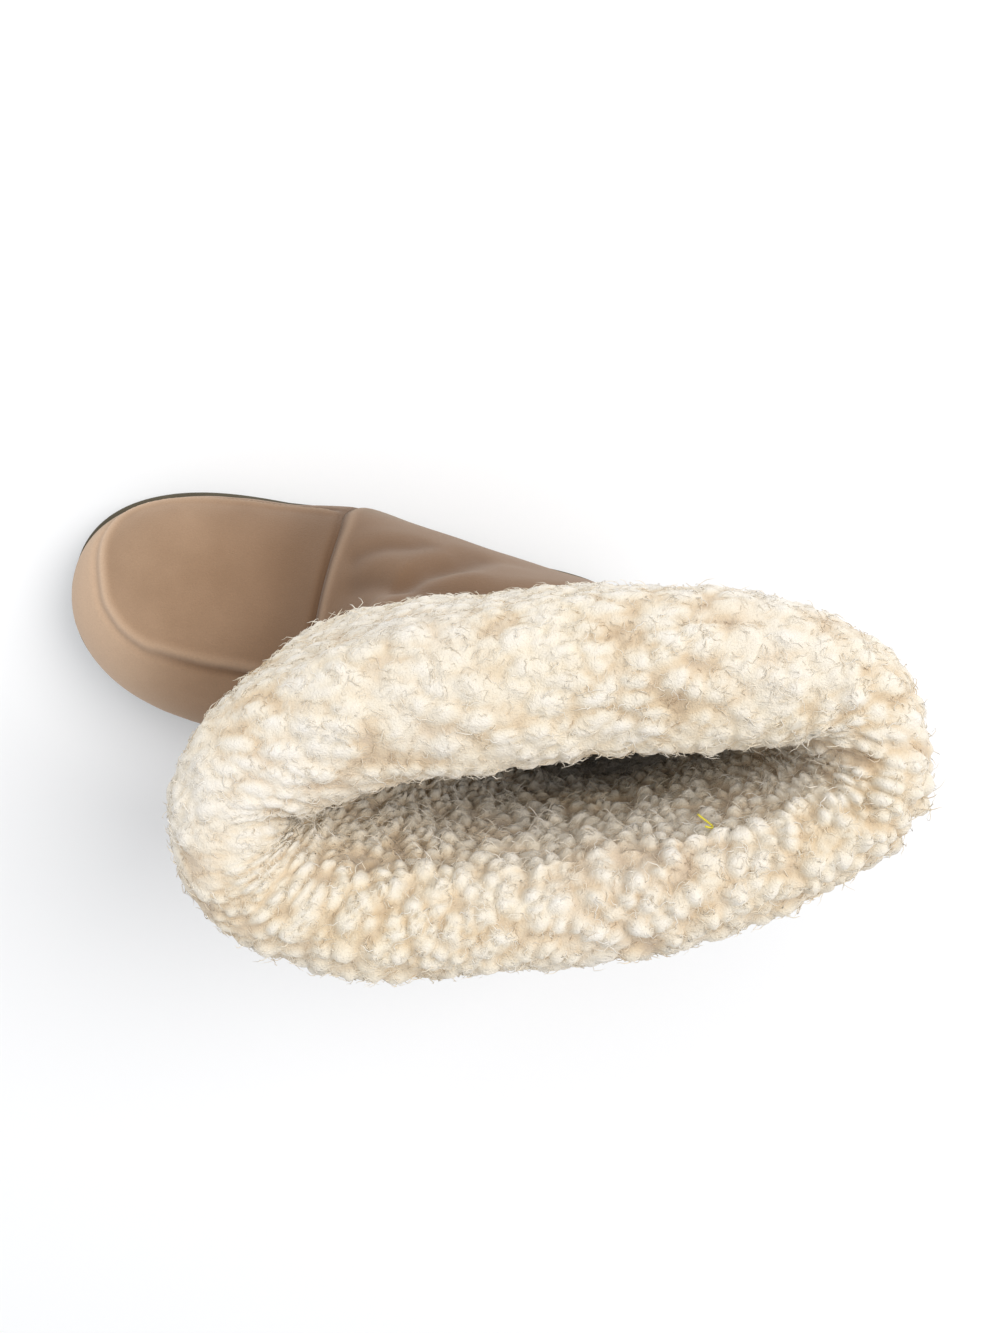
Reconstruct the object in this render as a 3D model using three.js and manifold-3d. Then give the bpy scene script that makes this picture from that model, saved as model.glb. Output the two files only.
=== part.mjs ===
// Left sheepskin boot with a folded shearling cuff, standing slack on its sole.
// Millimetres. X runs forward to the toe, Y to the wearer's left (the outer side), Z up.
// The tables measure X from the back of the heel; the group at the end moves the boot over its own origin.
import * as THREE from "three";
import { mergeVertices } from "three/addons/utils/BufferGeometryUtils.js";
import Module from "manifold-3d";

const wasm = await Module();
wasm.setup();

// ---- Driving dimensions -------------------------------------------------------------------------
const TOE_X = 270; // front of the upper, from the back of the heel
const HIDE = 3; // skin alone, under the cuff
const WALL = 9; // skin with its short fleece lining
const FLEECE_OUT = 16; // shearling outside the leg, with its own skin
const FLEECE_IN = 15; // shearling inside the leg
const ROLLED_IN = 17; // how much thicker it is where the cuff has rolled in, on the big-toe side
const ROLLED_FRONT = 1; // and at the shin
const STRETCHED = 5; // how much thinner at the back, where the fold is pulled tight
const ROLL_TOP = 14; // height of the fold over the rim
const FLAP = 56; // how far the fold hangs down outside
const FACING = 62; // how far the shearling reaches down inside
const FACING_OUTER = 58; // and how much further on the outer side
const GAP = 0.35; // clearance between pieces that meet
const LEDGE_GAP = 1.6; // the shearling's lower edge hangs free of the lining
const SOLE_RIM = 3; // how far the sole stands out past the upper
const INSOLE_THICK = 6;
const LUG_DEPTH = 2.6;
const GROOVE_WIDE = 3.2;
const GROOVE_BEND = 7; // how far a groove runs forward at its middle
const GROOVES = [
  { from: 22, to: 66, pitch: 14 }, // heel
  { from: 146, to: 236, pitch: 15 }, // forefoot
];

// ---- The last: one row for each section of the upper, from the ball to above the rim -------------
// rear: sole or heel end of the section, front: its vamp or shin end, half: half width,
// widest: where along rear-front it is widest, frontSquare and rearSquare: 2 is an ellipse, more is squarer.
const COLUMNS = [
  "name", "rearX", "rearY", "rearZ", "frontX", "frontY", "frontZ",
  "half", "widest", "frontSquare", "rearSquare",
];
const SECTIONS = [
  ["ball", 188, 0, -8, 177, -5, 71, 52.5, 0.46, 2.3, 2.6],
  ["waist", 150, 1, -8, 157, -9, 86, 55, 0.47, 2.2, 2.1],
  ["instep", 112, 4, -8, 146, -9, 102, 53.5, 0.47, 2.1, 2.0],
  ["ankle", 64, 3, -6, 142, -5, 116, 50, 0.46, 2.1, 2.2],
  ["heelSeat", 17, 1, 2, 146, 1, 127, 46.5, 0.44, 2.1, 2.7],
  ["heelBack", 1, 0, 45, 152, 9, 136, 46, 0.46, 2.1, 2.5],
  ["heelTop", 2, 0, 92, 159, 23, 145, 44, 0.5, 2.1, 2.4],
  ["calf", -1, -5, 137, 165, 35, 155, 41.5, 0.5, 2.2, 2.3],
  ["cuffHalf", -5, -10, 180, 169, 43, 171, 40, 0.5, 2.3, 2.3],
  ["rim", -7, -13, 222, 172, 48, 192, 39.5, 0.5, 2.4, 2.4],
  ["aboveRim", -8, -15, 250, 174, 51, 216, 39, 0.5, 2.4, 2.4],
].map((row) => Object.fromEntries(COLUMNS.map((column, k) => [column, row[k]])));
const RIM = SECTIONS.findIndex((row) => row.name === "rim");
const SEAT = SECTIONS.findIndex((row) => row.name === "heelSeat");
const UNDER_LEG = 6.6; // the foot's own form runs up to this station, inside the leg
const INSTEP_Z = 85; // the wall is measured square to the surface up to this height
const ANKLE_Z = 118; // and level from here up
const TOE_PLAN = 2.4; // roundness of the toe seen from above
const TOE_SIDE = 3.2; // roundness of the toe seen from the side
const TOE_DROP = 15; // how much lower the toe box is than the ball
const TOE_SWING = -3; // the tip leans to the big toe

// ---- The sole's own lines: height over the floor along the boot ---------------------------------
const SOLE_TOP = [
  { x: -20, z: 25 }, { x: 40, z: 24 }, { x: 90, z: 20 }, { x: 140, z: 15.5 }, { x: 190, z: 14 },
  { x: 235, z: 16 }, { x: 262, z: 19 }, { x: 290, z: 24 },
];
const SOLE_BASE = [
  { x: -20, z: 2.5 }, { x: 2, z: 1.2 }, { x: 14, z: 0 }, { x: 78, z: 0 }, { x: 92, z: 2.6 },
  { x: 122, z: 2.6 }, { x: 138, z: 0 }, { x: 206, z: 0 }, { x: 245, z: 3.5 }, { x: 290, z: 12 },
];
// Seam between foot and leg, seen from the side: over the instep, down the waist, up round the heel counter.
const SEAM = [
  { x: 184, z: 122 }, { x: 171, z: 99 }, { x: 162.5, z: 83 }, { x: 158.5, z: 69 }, { x: 157, z: 54 },
  { x: 150, z: 41 }, { x: 135, z: 35 }, { x: 110, z: 34 }, { x: 80, z: 38 }, { x: 50, z: 47 },
  { x: 20, z: 57 }, { x: 0, z: 62 }, { x: -30, z: 65 },
];

// ---- Small helpers ------------------------------------------------------------------------------
const lerp = THREE.MathUtils.lerp;

// Catmull-Rom through four values at t between the middle two.
function smooth(a, b, c, d, t) {
  return 0.5 * (2 * b + (c - a) * t + (2 * a - 5 * b + 4 * c - d) * t * t + (3 * b - a - 3 * c + d) * t ** 3);
}

// The last place between low and high where a test that holds at low still holds.
const HALVINGS = 28;
function lastWhere(test, low, high) {
  for (let k = 0; k < HALVINGS; k++) {
    const middle = (low + high) / 2;
    if (test(middle)) low = middle;
    else high = middle;
  }
  return low;
}

// Height of a side-view line at x: monotone between its rows, with level easing at each row.
function heightOn(line, x) {
  const i = Math.max(0, Math.min(line.length - 2, line.findIndex((row) => row.x > x) - 1));
  const last = line[line.length - 1];
  if (x >= last.x) return last.z;
  const [p, q] = [line[i], line[i + 1]];
  const t = Math.max(0, (x - p.x) / (q.x - p.x));
  const slope = (k) => {
    if (k <= 0 || k >= line.length - 1) return 0;
    const before = (line[k].z - line[k - 1].z) / (line[k].x - line[k - 1].x);
    const after = (line[k + 1].z - line[k].z) / (line[k + 1].x - line[k].x);
    return before * after <= 0 ? 0 : (2 * before * after) / (before + after);
  };
  const [h, m, n] = [q.x - p.x, slope(i), slope(i + 1)];
  return (
    (2 * t ** 3 - 3 * t * t + 1) * p.z + (t ** 3 - 2 * t * t + t) * h * m +
    (3 * t * t - 2 * t ** 3) * q.z + (t ** 3 - t * t) * h * n
  );
}
const soleTop = (x) => heightOn(SOLE_TOP, x);
const soleBase = (x) => heightOn(SOLE_BASE, x);

// A closed mesh from rings of points, each ring one turn round; the first and last are closed by fans.
function fromRings(rings, closedLoop = false) {
  const across = rings[0].length;
  const points = rings.flat();
  const triangles = [];
  const at = (i, j) => (i % rings.length) * across + (j % across);
  const bands = closedLoop ? rings.length : rings.length - 1;
  for (let i = 0; i < bands; i++)
    for (let j = 0; j < across; j++) {
      triangles.push([at(i, j), at(i, j + 1), at(i + 1, j)]);
      triangles.push([at(i, j + 1), at(i + 1, j + 1), at(i + 1, j)]);
    }
  if (!closedLoop)
    for (const [i, flip] of [[0, true], [rings.length - 1, false]]) {
      const middle = rings[i].reduce((sum, p) => sum.add(p), new THREE.Vector3()).divideScalar(across);
      points.push(middle);
      for (let j = 0; j < across; j++) {
        const [a, b] = flip ? [at(i, j + 1), at(i, j)] : [at(i, j), at(i, j + 1)];
        triangles.push([a, b, points.length - 1]);
      }
    }
  return toSolid(points, triangles);
}

function toSolid(points, triangles) {
  const geometry = new THREE.BufferGeometry().setFromPoints(points).setIndex(triangles.flat());
  return solidOf(geometry);
}

function solidOf(geometry) {
  for (const name of ["normal", "uv"]) geometry.deleteAttribute(name);
  const merged = mergeVertices(geometry, 1e-4);
  const solid = new wasm.Manifold(
    new wasm.Mesh({
      numProp: 3,
      vertProperties: merged.attributes.position.array,
      triVerts: new Uint32Array(merged.index.array),
    }),
  );
  if (solid.volume() >= 0) return solid;
  const turned = merged.index.array;
  for (let i = 0; i < turned.length; i += 3) [turned[i + 1], turned[i + 2]] = [turned[i + 2], turned[i + 1]];
  return solidOf(merged);
}

function toGeometry(solid) {
  const { vertProperties, triVerts, numProp } = solid.getMesh();
  const position = new THREE.BufferAttribute(vertProperties, numProp);
  const geometry = new THREE.BufferGeometry().setAttribute("position", position);
  geometry.setIndex(new THREE.BufferAttribute(triVerts, 1));
  return geometry;
}

// ---- The upper's own surface --------------------------------------------------------------------
// The section at s: 0 to 10 are the table's rows, and 0 down to -1 closes the toe box.
function sectionAt(s) {
  const row = Math.min(Math.max(s, 0), SECTIONS.length - 1);
  const i = Math.min(Math.floor(row), SECTIONS.length - 2);
  const pick = (k, column) => {
    if (k < 0) return 2 * SECTIONS[0][column] - SECTIONS[1][column];
    if (k < SECTIONS.length) return SECTIONS[k][column];
    return 2 * SECTIONS[k - 1][column] - SECTIONS[k - 2][column];
  };
  const value = (column) => smooth(...[i - 1, i, i + 1, i + 2].map((k) => pick(k, column)), row - i);
  const rear = new THREE.Vector3(value("rearX"), value("rearY"), value("rearZ"));
  const front = new THREE.Vector3(value("frontX"), value("frontY"), value("frontZ"));
  const [widest, frontSquare, rearSquare] = ["widest", "frontSquare", "rearSquare"].map(value);
  let half = value("half");
  const tip = Math.min(Math.max(-s, 0), 1);
  if (tip > 0) {
    const level = lerp(rear.z, front.z, widest);
    const plan = (1 - tip ** TOE_PLAN) ** (1 / TOE_PLAN);
    const side = (1 - tip ** TOE_SIDE) ** (1 / TOE_SIDE);
    half *= plan;
    for (const end of [rear, front]) {
      end.x = lerp(end.x, TOE_X, tip);
      end.y += TOE_SWING * tip * tip;
    }
    rear.z = level + (rear.z - level) * side;
    front.z = level + (front.z - level - TOE_DROP * tip) * side;
  }
  return { rear, front, half, widest, frontSquare, rearSquare };
}

// A point of the outer surface: turn is 0 on the vamp and shin, pi on the sole and heel,
// and positive on the outer side.
function outerPoint(s, turn) {
  const { rear, front, half, widest, frontSquare, rearSquare } = sectionAt(s);
  const chord = front.clone().sub(rear);
  const length = Math.max(chord.length(), 1e-6);
  const along = chord.clone().divideScalar(length);
  const across = new THREE.Vector3(0, 1, 0).addScaledVector(along, -along.y).normalize();
  const [c, w] = [Math.cos(turn), Math.sin(turn)];
  const square = c >= 0 ? frontSquare : rearSquare;
  const reach = (Math.abs(c) ** square + Math.abs(w) ** square) ** (-1 / square);
  const arm = (c >= 0 ? 1 - widest : widest) * length;
  return rear
    .clone()
    .addScaledVector(along, widest * length + arm * reach * c)
    .addScaledVector(across, half * reach * w);
}

// Which way is out: square to the surface round the foot, and level up the leg.
function outwardAt(s, turn) {
  const step = 0.01;
  const low = Math.max(s - step, -0.9995);
  const alongTurn = outerPoint(s, turn + step).sub(outerPoint(s, turn - step));
  const alongS = outerPoint(low + 2 * step, turn).sub(outerPoint(low, turn));
  const out = alongTurn.cross(alongS).normalize();
  out.z *= 1 - THREE.MathUtils.smoothstep(outerPoint(s, turn).z, INSTEP_Z, ANKLE_Z);
  return out.normalize();
}

// The surface moved out by some millimetres, or in where it is negative.
function skin(s, turn, out) {
  if (s <= -0.999) return outerPoint(-1, 0).add(new THREE.Vector3(out, 0, 0));
  return outerPoint(s, turn).addScaledVector(outwardAt(s, turn), out);
}

const TURNS = 40; // corners of every ring
const TOE_RINGS = 10; // rings round the toe box
const BODY_RINGS = 19; // rings from the ball to the leg
const turns = Array.from({ length: TURNS }, (_, j) => (2 * Math.PI * j) / TURNS);
const ring = (s, out) => turns.map((turn) => skin(s, turn, out));

// Stations from the toe tip to s: close together round the toe, then evenly.
function stations(s, toeCount, bodyCount) {
  const toe = Array.from({ length: toeCount }, (_, k) => {
    const angle = (Math.PI / 2) * (1 - k / toeCount);
    const reach = (Math.cos(angle) ** TOE_PLAN + Math.sin(angle) ** TOE_PLAN) ** (-1 / TOE_PLAN);
    return -reach * Math.sin(angle);
  });
  return [...toe.slice(1), ...Array.from({ length: bodyCount + 1 }, (_, k) => (s * k) / bodyCount)];
}

// One closed form inside the outer surface, from the toe tip up to s.
function form(out, s, toeCount, bodyCount) {
  return fromRings(stations(s, toeCount, bodyCount).map((station) => ring(station, out)));
}

// The space inside the foot, carried a little further up than the foot's own form so that the two end apart.
const insideFoot = (out) => form(out, UNDER_LEG + 0.2, TOE_RINGS - 1, BODY_RINGS - 3);

// ---- Side-view cutters: slabs across the whole width --------------------------------------------
const REACH = 200; // past every side of the boot
const [BEHIND, AHEAD] = [-60, 330]; // where the side-view lines start and end
const LINE_STEPS = 52; // straight pieces in a side-view line
const SEAM_STEPS = 36;
function slab(outline) {
  const shape = new THREE.Shape(outline.map(([x, z]) => new THREE.Vector2(x, z)));
  const geometry = new THREE.ExtrudeGeometry(shape, { depth: 2 * REACH, bevelEnabled: false });
  return solidOf(geometry.rotateX(Math.PI / 2).translate(0, REACH, 0));
}
const steps = (from, to, count) => Array.from({ length: count + 1 }, (_, k) => lerp(from, to, k / count));

// Everything above the foot and leg seam, raised by lift along its normal.
function aboveSeam(lift) {
  const curve = new THREE.CatmullRomCurve3(SEAM.map(({ x, z }) => new THREE.Vector3(x, 0, z)));
  const line = curve.getPoints(SEAM_STEPS).map((p, k) => {
    const along = curve.getTangent(k / SEAM_STEPS);
    return [p.x + along.z * lift, p.z - along.x * lift];
  });
  const [front, rear] = [line[0], line[line.length - 1]];
  return slab([...line, [-REACH, rear[1]], [-REACH, 2 * REACH], [front[0], 2 * REACH]]);
}

function belowSoleTop(lift) {
  const line = steps(BEHIND, AHEAD, LINE_STEPS).map((x) => [x, soleTop(x) + lift]);
  return slab([...line, [AHEAD, -REACH], [BEHIND, -REACH]]);
}

// ---- Pieces -------------------------------------------------------------------------------------
// The foot: one hollow wall with the toe box, sides and heel, open underneath and along its top line.
function makeUpper() {
  return form(0, UNDER_LEG, TOE_RINGS, BODY_RINGS)
    .subtract(insideFoot(-WALL))
    .subtract(aboveSeam(-GAP / 2))
    .subtract(belowSoleTop(GAP));
}

// The station a given height under the rim's own edge, at one place round the leg;
// above the rim where drop is negative.
function stationUnderRim(turn, drop) {
  const level = outerPoint(RIM, turn).z - drop;
  return lastWhere((s) => outerPoint(s, turn).z < level, RIM - 7, RIM + 1);
}
const ringUnderRim = (drop, out) => turns.map((turn) => skin(stationUnderRim(turn, drop), turn, out));

// The cuff's measures at one place round the rim.
const BIG_TOE_SIDE = -1.75; // the turn where the cuff has rolled in most
function rollAt(turn) {
  const rolled = Math.max(0, Math.cos(turn - BIG_TOE_SIDE)) ** 0.8;
  const front = Math.max(0, Math.cos(turn)) ** 2;
  const back = Math.max(0, -Math.cos(turn)) ** 2;
  const outerSide = Math.max(0, Math.sin(turn));
  return {
    thick: FLEECE_OUT - 2.5 * rolled,
    inner: -(HIDE + FLEECE_IN + ROLLED_IN * rolled + ROLLED_FRONT * front - STRETCHED * back),
    flap: FLAP - 5 * rolled,
    facing: FACING + FACING_OUTER * outerSide,
  };
}

// Rings up the leg, from the ball to just under the flap's hem and then in steps up to the rim.
const LEG_STEPS = 11;
const LEG_START = 0.2; // just behind the ball, where the seam cuts the leg's form off
const UNDER_HEM = 12;
const DROPS = [51, 34, 17, 0]; // heights under the rim
function legRings(out) {
  const hem = turns.map((turn) => stationUnderRim(turn, rollAt(turn).facing + UNDER_HEM));
  const climb = (t) => turns.map((turn, j) => skin(lerp(LEG_START, hem[j], t), turn, out));
  const lower = steps(0, 1, LEG_STEPS).map(climb);
  return [...lower, ...DROPS.map((drop) => ringUnderRim(drop, out))];
}

// The leg's surface moved out by some millimetres, as a closed form that ends some millimetres over the rim.
const legForm = (out, over) => fromRings([...legRings(out).slice(0, -1), ringUnderRim(-over, out)]);

const LEDGE_STEP = 6; // the ledge's last ring below it
const OVER_RIM = 2; // the inside form runs this far over the rim

// The space inside the leg: lined up to a ledge and wider above it, beside the facing,
// standing off the bare skin and off the lining by some millimetres.
function legInside(offSkin, offLining) {
  const ledgeRing = (lower, out) =>
    turns.map((turn) => {
      const drop = rollAt(turn).facing + LEDGE_GAP - offLining + lower;
      return skin(stationUnderRim(turn, drop), turn, out);
    });
  return fromRings([
    ...legRings(-WALL - offLining).slice(0, -DROPS.length),
    ...[LEDGE_STEP, 0].map((lower) => ledgeRing(lower, -WALL - offLining)),
    ledgeRing(0, -HIDE - offSkin),
    ...[...DROPS, -OVER_RIM].map((drop) => ringUnderRim(drop, -HIDE - offSkin)),
  ]);
}

// The leg: a hollow wall from the seam to the rim, thinner where the shearling is folded over it.
function makeShaft() {
  return legForm(0, 0).subtract(legInside(0, 0)).intersect(aboveSeam(GAP / 2));
}

// The cuff's section at one place: from the hem of the flap over the fold and down inside.
// out is measured from the leg's outer face and drop from the rim.
const FOLD_STEPS = 8;
function rollSection(turn) {
  const { thick, inner, flap, facing } = rollAt(turn);
  const [middle, radius] = [(thick + inner) / 2, (thick - inner) / 2];
  const fold = steps(0, Math.PI, FOLD_STEPS).map((angle) => ({
    out: middle + radius * Math.cos(angle),
    drop: 2 - (ROLL_TOP + 2) * Math.sin(angle),
  }));
  return [
    { out: -1, drop: flap - 4 },
    { out: 4, drop: flap - 1 },
    { out: 9, drop: flap },
    { out: thick - 3, drop: flap - 4 },
    { out: thick, drop: flap * 0.8 },
    { out: thick + 1, drop: flap * 0.4 },
    ...fold,
    { out: inner - 0.5, drop: facing * 0.5 },
    { out: inner + 1, drop: facing * 0.85 },
    { out: inner + 4, drop: facing - 1 },
    { out: -HIDE - 4, drop: facing },
    { out: 1 - HIDE, drop: facing - 1 },
  ];
}

// The cuff: that section carried round the rim, less the leg's own wall.
function makeCuff() {
  const sections = turns.map(rollSection);
  const rings = sections[0].map((_, k) =>
    turns.map((turn, j) => skin(stationUnderRim(turn, sections[j][k].drop), turn, sections[j][k].out)),
  );
  return fromRings(rings, true).subtract(legForm(GAP, GAP).subtract(legInside(GAP, LEDGE_GAP)));
}

// Where the upper stands on the sole: the surface's outline at the sole's top, moved out by some millimetres.
const OUTLINE_TOE = 12; // points round each side of the toe
const OUTLINE_BODY = 16; // points from the ball to the heel
const HEEL_CROWDING = 0.9; // under 1 keeps the heel's points from crowding
const NEAR_BALL = -0.02; // the toe's own points stop short of the ball
function footOutline(out) {
  const height = (s, turn) => {
    const p = skin(s, turn, out);
    return p.z - soleTop(p.x);
  };
  const crossing = (s, side) => {
    const turn = lastWhere((t) => height(s, side * t) > 0, Math.PI / 2, Math.PI);
    return skin(s, side * turn, out);
  };
  const heel = lastWhere((s) => height(s, Math.PI) < 0, SEAT, SEAT + 1);
  const toe = stations(0, OUTLINE_TOE, 1).filter((s) => s < NEAR_BALL);
  const body = steps(0, 1, OUTLINE_BODY).map((t) => heel * Math.sin((t * Math.PI) / 2) ** HEEL_CROWDING);
  const path = [...toe, ...body];
  const outerSide = path.map((s) => crossing(s, 1));
  const innerSide = path.map((s) => crossing(s, -1)).reverse();
  return [...outerSide, ...innerSide.slice(1)].map((p) => new THREE.Vector2(p.x, p.y));
}

// The sole: its own outline, top and base lines, with bent grooves between the lugs.
const SIDE_STEPS = 64;
function makeOutsole() {
  const wall = [
    { level: -1, out: -3 }, { level: 0, out: -2.2 }, { level: 0.18, out: -0.4 }, { level: 0.45, out: 0 },
    { level: 0.8, out: 0 }, { level: 1, out: -0.8 }, { level: 2, out: -0.8 },
  ];
  const rings = wall.map(({ level, out }) => {
    const height = (x) => lerp(soleBase(x), soleTop(x), level);
    return footOutline(SOLE_RIM + out).map(({ x, y }) => new THREE.Vector3(x, y, height(x)));
  });
  const xs = steps(SOLE_TOP[0].x, TOE_X + 30, SIDE_STEPS);
  const sides = [...xs.map((x) => [x, soleTop(x)]), ...xs.reverse().map((x) => [x, soleBase(x)])];
  let sole = fromRings(rings).intersect(slab(sides));
  for (const { from, to, pitch } of GROOVES)
    for (let x = from; x <= to; x += pitch) sole = sole.subtract(groove(x));
  return sole;
}

// One groove across the sole, bent forward in the middle.
const SOLE_HALF = 60; // the groove is back at its own x this far from the middle
const PAST_SIDE = 90; // and is cut this far, past the sole's sides
const BELOW = 5; // the cutter starts this far under the floor
function groove(x) {
  const bend = (y) => x + GROOVE_BEND * (1 - Math.abs(y) / SOLE_HALF);
  const back = steps(-PAST_SIDE, PAST_SIDE, 6).map((y) => [bend(y), y]);
  const front = steps(PAST_SIDE, -PAST_SIDE, 6).map((y) => [bend(y) + GROOVE_WIDE, y]);
  const shape = new THREE.Shape([...back, ...front].map(([px, py]) => new THREE.Vector2(px, py)));
  const depth = BELOW + LUG_DEPTH + soleBase(x);
  const geometry = new THREE.ExtrudeGeometry(shape, { depth, bevelEnabled: false });
  return solidOf(geometry.translate(0, 0, -BELOW));
}

// The footbed: fills the inside of the upper for its own thickness above the sole.
function makeInsole() {
  const xs = steps(BEHIND, AHEAD, LINE_STEPS);
  const base = xs.map((x) => [x, soleTop(x) + GAP]);
  const top = xs.map((x) => [x, soleTop(x) + GAP + INSOLE_THICK]).reverse();
  return insideFoot(-(WALL + GAP)).intersect(slab([...base, ...top]));
}

// ---- The boot -----------------------------------------------------------------------------------
const PIECES = [
  { name: "outsole", make: makeOutsole, colour: 0x6b5c45, roughness: 0.8 },
  { name: "insole", make: makeInsole, colour: 0x20202c, roughness: 0.95 },
  { name: "upper", make: makeUpper, colour: 0xa8773f, roughness: 0.95 },
  { name: "shaft", make: makeShaft, colour: 0x9c6c39, roughness: 0.95 },
  { name: "cuff", make: makeCuff, colour: 0xe6dcc0, roughness: 1 },
];

const boot = new THREE.Group();
boot.name = "sheepskin_boot";
for (const { name, make, colour, roughness } of PIECES) {
  const material = new THREE.MeshStandardMaterial({ color: colour, roughness });
  const mesh = new THREE.Mesh(toGeometry(make()), material);
  mesh.name = name;
  boot.add(mesh);
}

// The origin goes under the middle of the whole boot, on the floor.
const box = new THREE.Box3().setFromObject(boot);
const middle = box.getCenter(new THREE.Vector3());
for (const mesh of boot.children) mesh.geometry.translate(-middle.x, -middle.y, -box.min.z);

export default boot;
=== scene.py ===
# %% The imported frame
import math

import bpy
import numpy as np
from mathutils import Matrix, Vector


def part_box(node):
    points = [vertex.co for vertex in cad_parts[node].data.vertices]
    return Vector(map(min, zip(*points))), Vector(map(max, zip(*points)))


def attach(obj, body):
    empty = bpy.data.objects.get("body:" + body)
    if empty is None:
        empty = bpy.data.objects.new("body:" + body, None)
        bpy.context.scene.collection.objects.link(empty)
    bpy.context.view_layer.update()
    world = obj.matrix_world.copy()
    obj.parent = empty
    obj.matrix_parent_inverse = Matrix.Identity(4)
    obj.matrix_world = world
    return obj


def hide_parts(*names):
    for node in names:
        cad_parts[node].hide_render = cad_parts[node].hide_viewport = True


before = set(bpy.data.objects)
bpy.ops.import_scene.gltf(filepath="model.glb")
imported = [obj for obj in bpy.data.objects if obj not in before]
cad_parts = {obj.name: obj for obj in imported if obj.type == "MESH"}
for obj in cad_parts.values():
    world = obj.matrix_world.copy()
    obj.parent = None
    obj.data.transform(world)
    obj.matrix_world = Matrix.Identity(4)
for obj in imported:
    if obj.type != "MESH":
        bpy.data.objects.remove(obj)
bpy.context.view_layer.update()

# %% [markdown]
# A sheepskin boot is one soft skin stretched over a last, so nearly everything on it follows one surface.
# We could model it with a subdivision cage, or sculpt it. Here the surface is a formula: a short table of
# sections up the boot, each a rounded outline between a rear point and a front point. The same table shapes
# the CAD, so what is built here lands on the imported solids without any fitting.
# Lengths are in millimetres from the back of the heel, and become metres only when a mesh is made.

# %% The last's table
SECTIONS = {  # rear x, y, z, front x, y, z, half width, where it is widest, front and rear squareness
    "ball": (188, 0, -8, 177, -5, 71, 52.5, .46, 2.3, 2.6),
    "waist": (150, 1, -8, 157, -9, 86, 55, .47, 2.2, 2.1),
    "instep": (112, 4, -8, 146, -9, 102, 53.5, .47, 2.1, 2.0),
    "ankle": (64, 3, -6, 142, -5, 116, 50, .46, 2.1, 2.2),
    "heel_seat": (17, 1, 2, 146, 1, 127, 46.5, .44, 2.1, 2.7),
    "heel_back": (1, 0, 45, 152, 9, 136, 46, .46, 2.1, 2.5),
    "heel_top": (2, 0, 92, 159, 23, 145, 44, .5, 2.1, 2.4),
    "calf": (-1, -5, 137, 165, 35, 155, 41.5, .5, 2.2, 2.3),
    "cuff_half": (-5, -10, 180, 169, 43, 171, 40, .5, 2.3, 2.3),
    "rim": (-7, -13, 222, 172, 48, 192, 39.5, .5, 2.4, 2.4),
    "above_rim": (-8, -15, 250, 174, 51, 216, 39, .5, 2.4, 2.4),
}
TABLE = np.array(list(SECTIONS.values()), float)
RIM = list(SECTIONS).index("rim")
SEAT = list(SECTIONS).index("heel_seat")
TOE_X, TOE_PLAN, TOE_SIDE, TOE_DROP, TOE_SWING = 270.0, 2.4, 3.2, 15.0, -3.0
INSTEP_Z, ANKLE_Z = 85.0, 118.0
HIDE, WALL, FLEECE_OUT, FLEECE_IN, ROLL_TOP, FLAP, FACING = 3.0, 9.0, 16.0, 15.0, 14.0, 56.0, 62.0
SOLE_RIM, INSOLE_THICK, GAP = 3.0, 6.0, 0.35
ORIGIN = np.array([124.16, 12.66, 0.0])  # where the frame's origin lies, from the back of the heel
toe_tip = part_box("upper")[1].x * 1000 + ORIGIN[0]
print(f"toe tip at {toe_tip:.1f} mm, the table says {TOE_X:.1f}")
assert abs(toe_tip - TOE_X) < 1.5, "the packed boot was built on another table"


# %% Points of the surface
def smoothstep(value, low, high):
    """0 below low, 1 above high, and 3t^2 - 2t^3 between them."""
    t = np.clip((value - low) / (high - low), 0, 1)
    return t * t * (3 - 2 * t)


def section(s):
    """The table's row at station s, with Catmull-Rom curves between the rows."""
    row = np.clip(s, 0, len(TABLE) - 1.0)
    i = np.minimum(row.astype(int), len(TABLE) - 2)
    t = (row - i)[..., None]
    rows = np.vstack([2 * TABLE[0] - TABLE[1], TABLE, 2 * TABLE[-1] - TABLE[-2]])
    a, b, c, d = (rows[i + k] for k in range(4))
    return 0.5 * (2 * b + (c - a) * t + (2 * a - 5 * b + 4 * c - d) * t**2 + (3 * b - a - 3 * c + d) * t**3)


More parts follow.
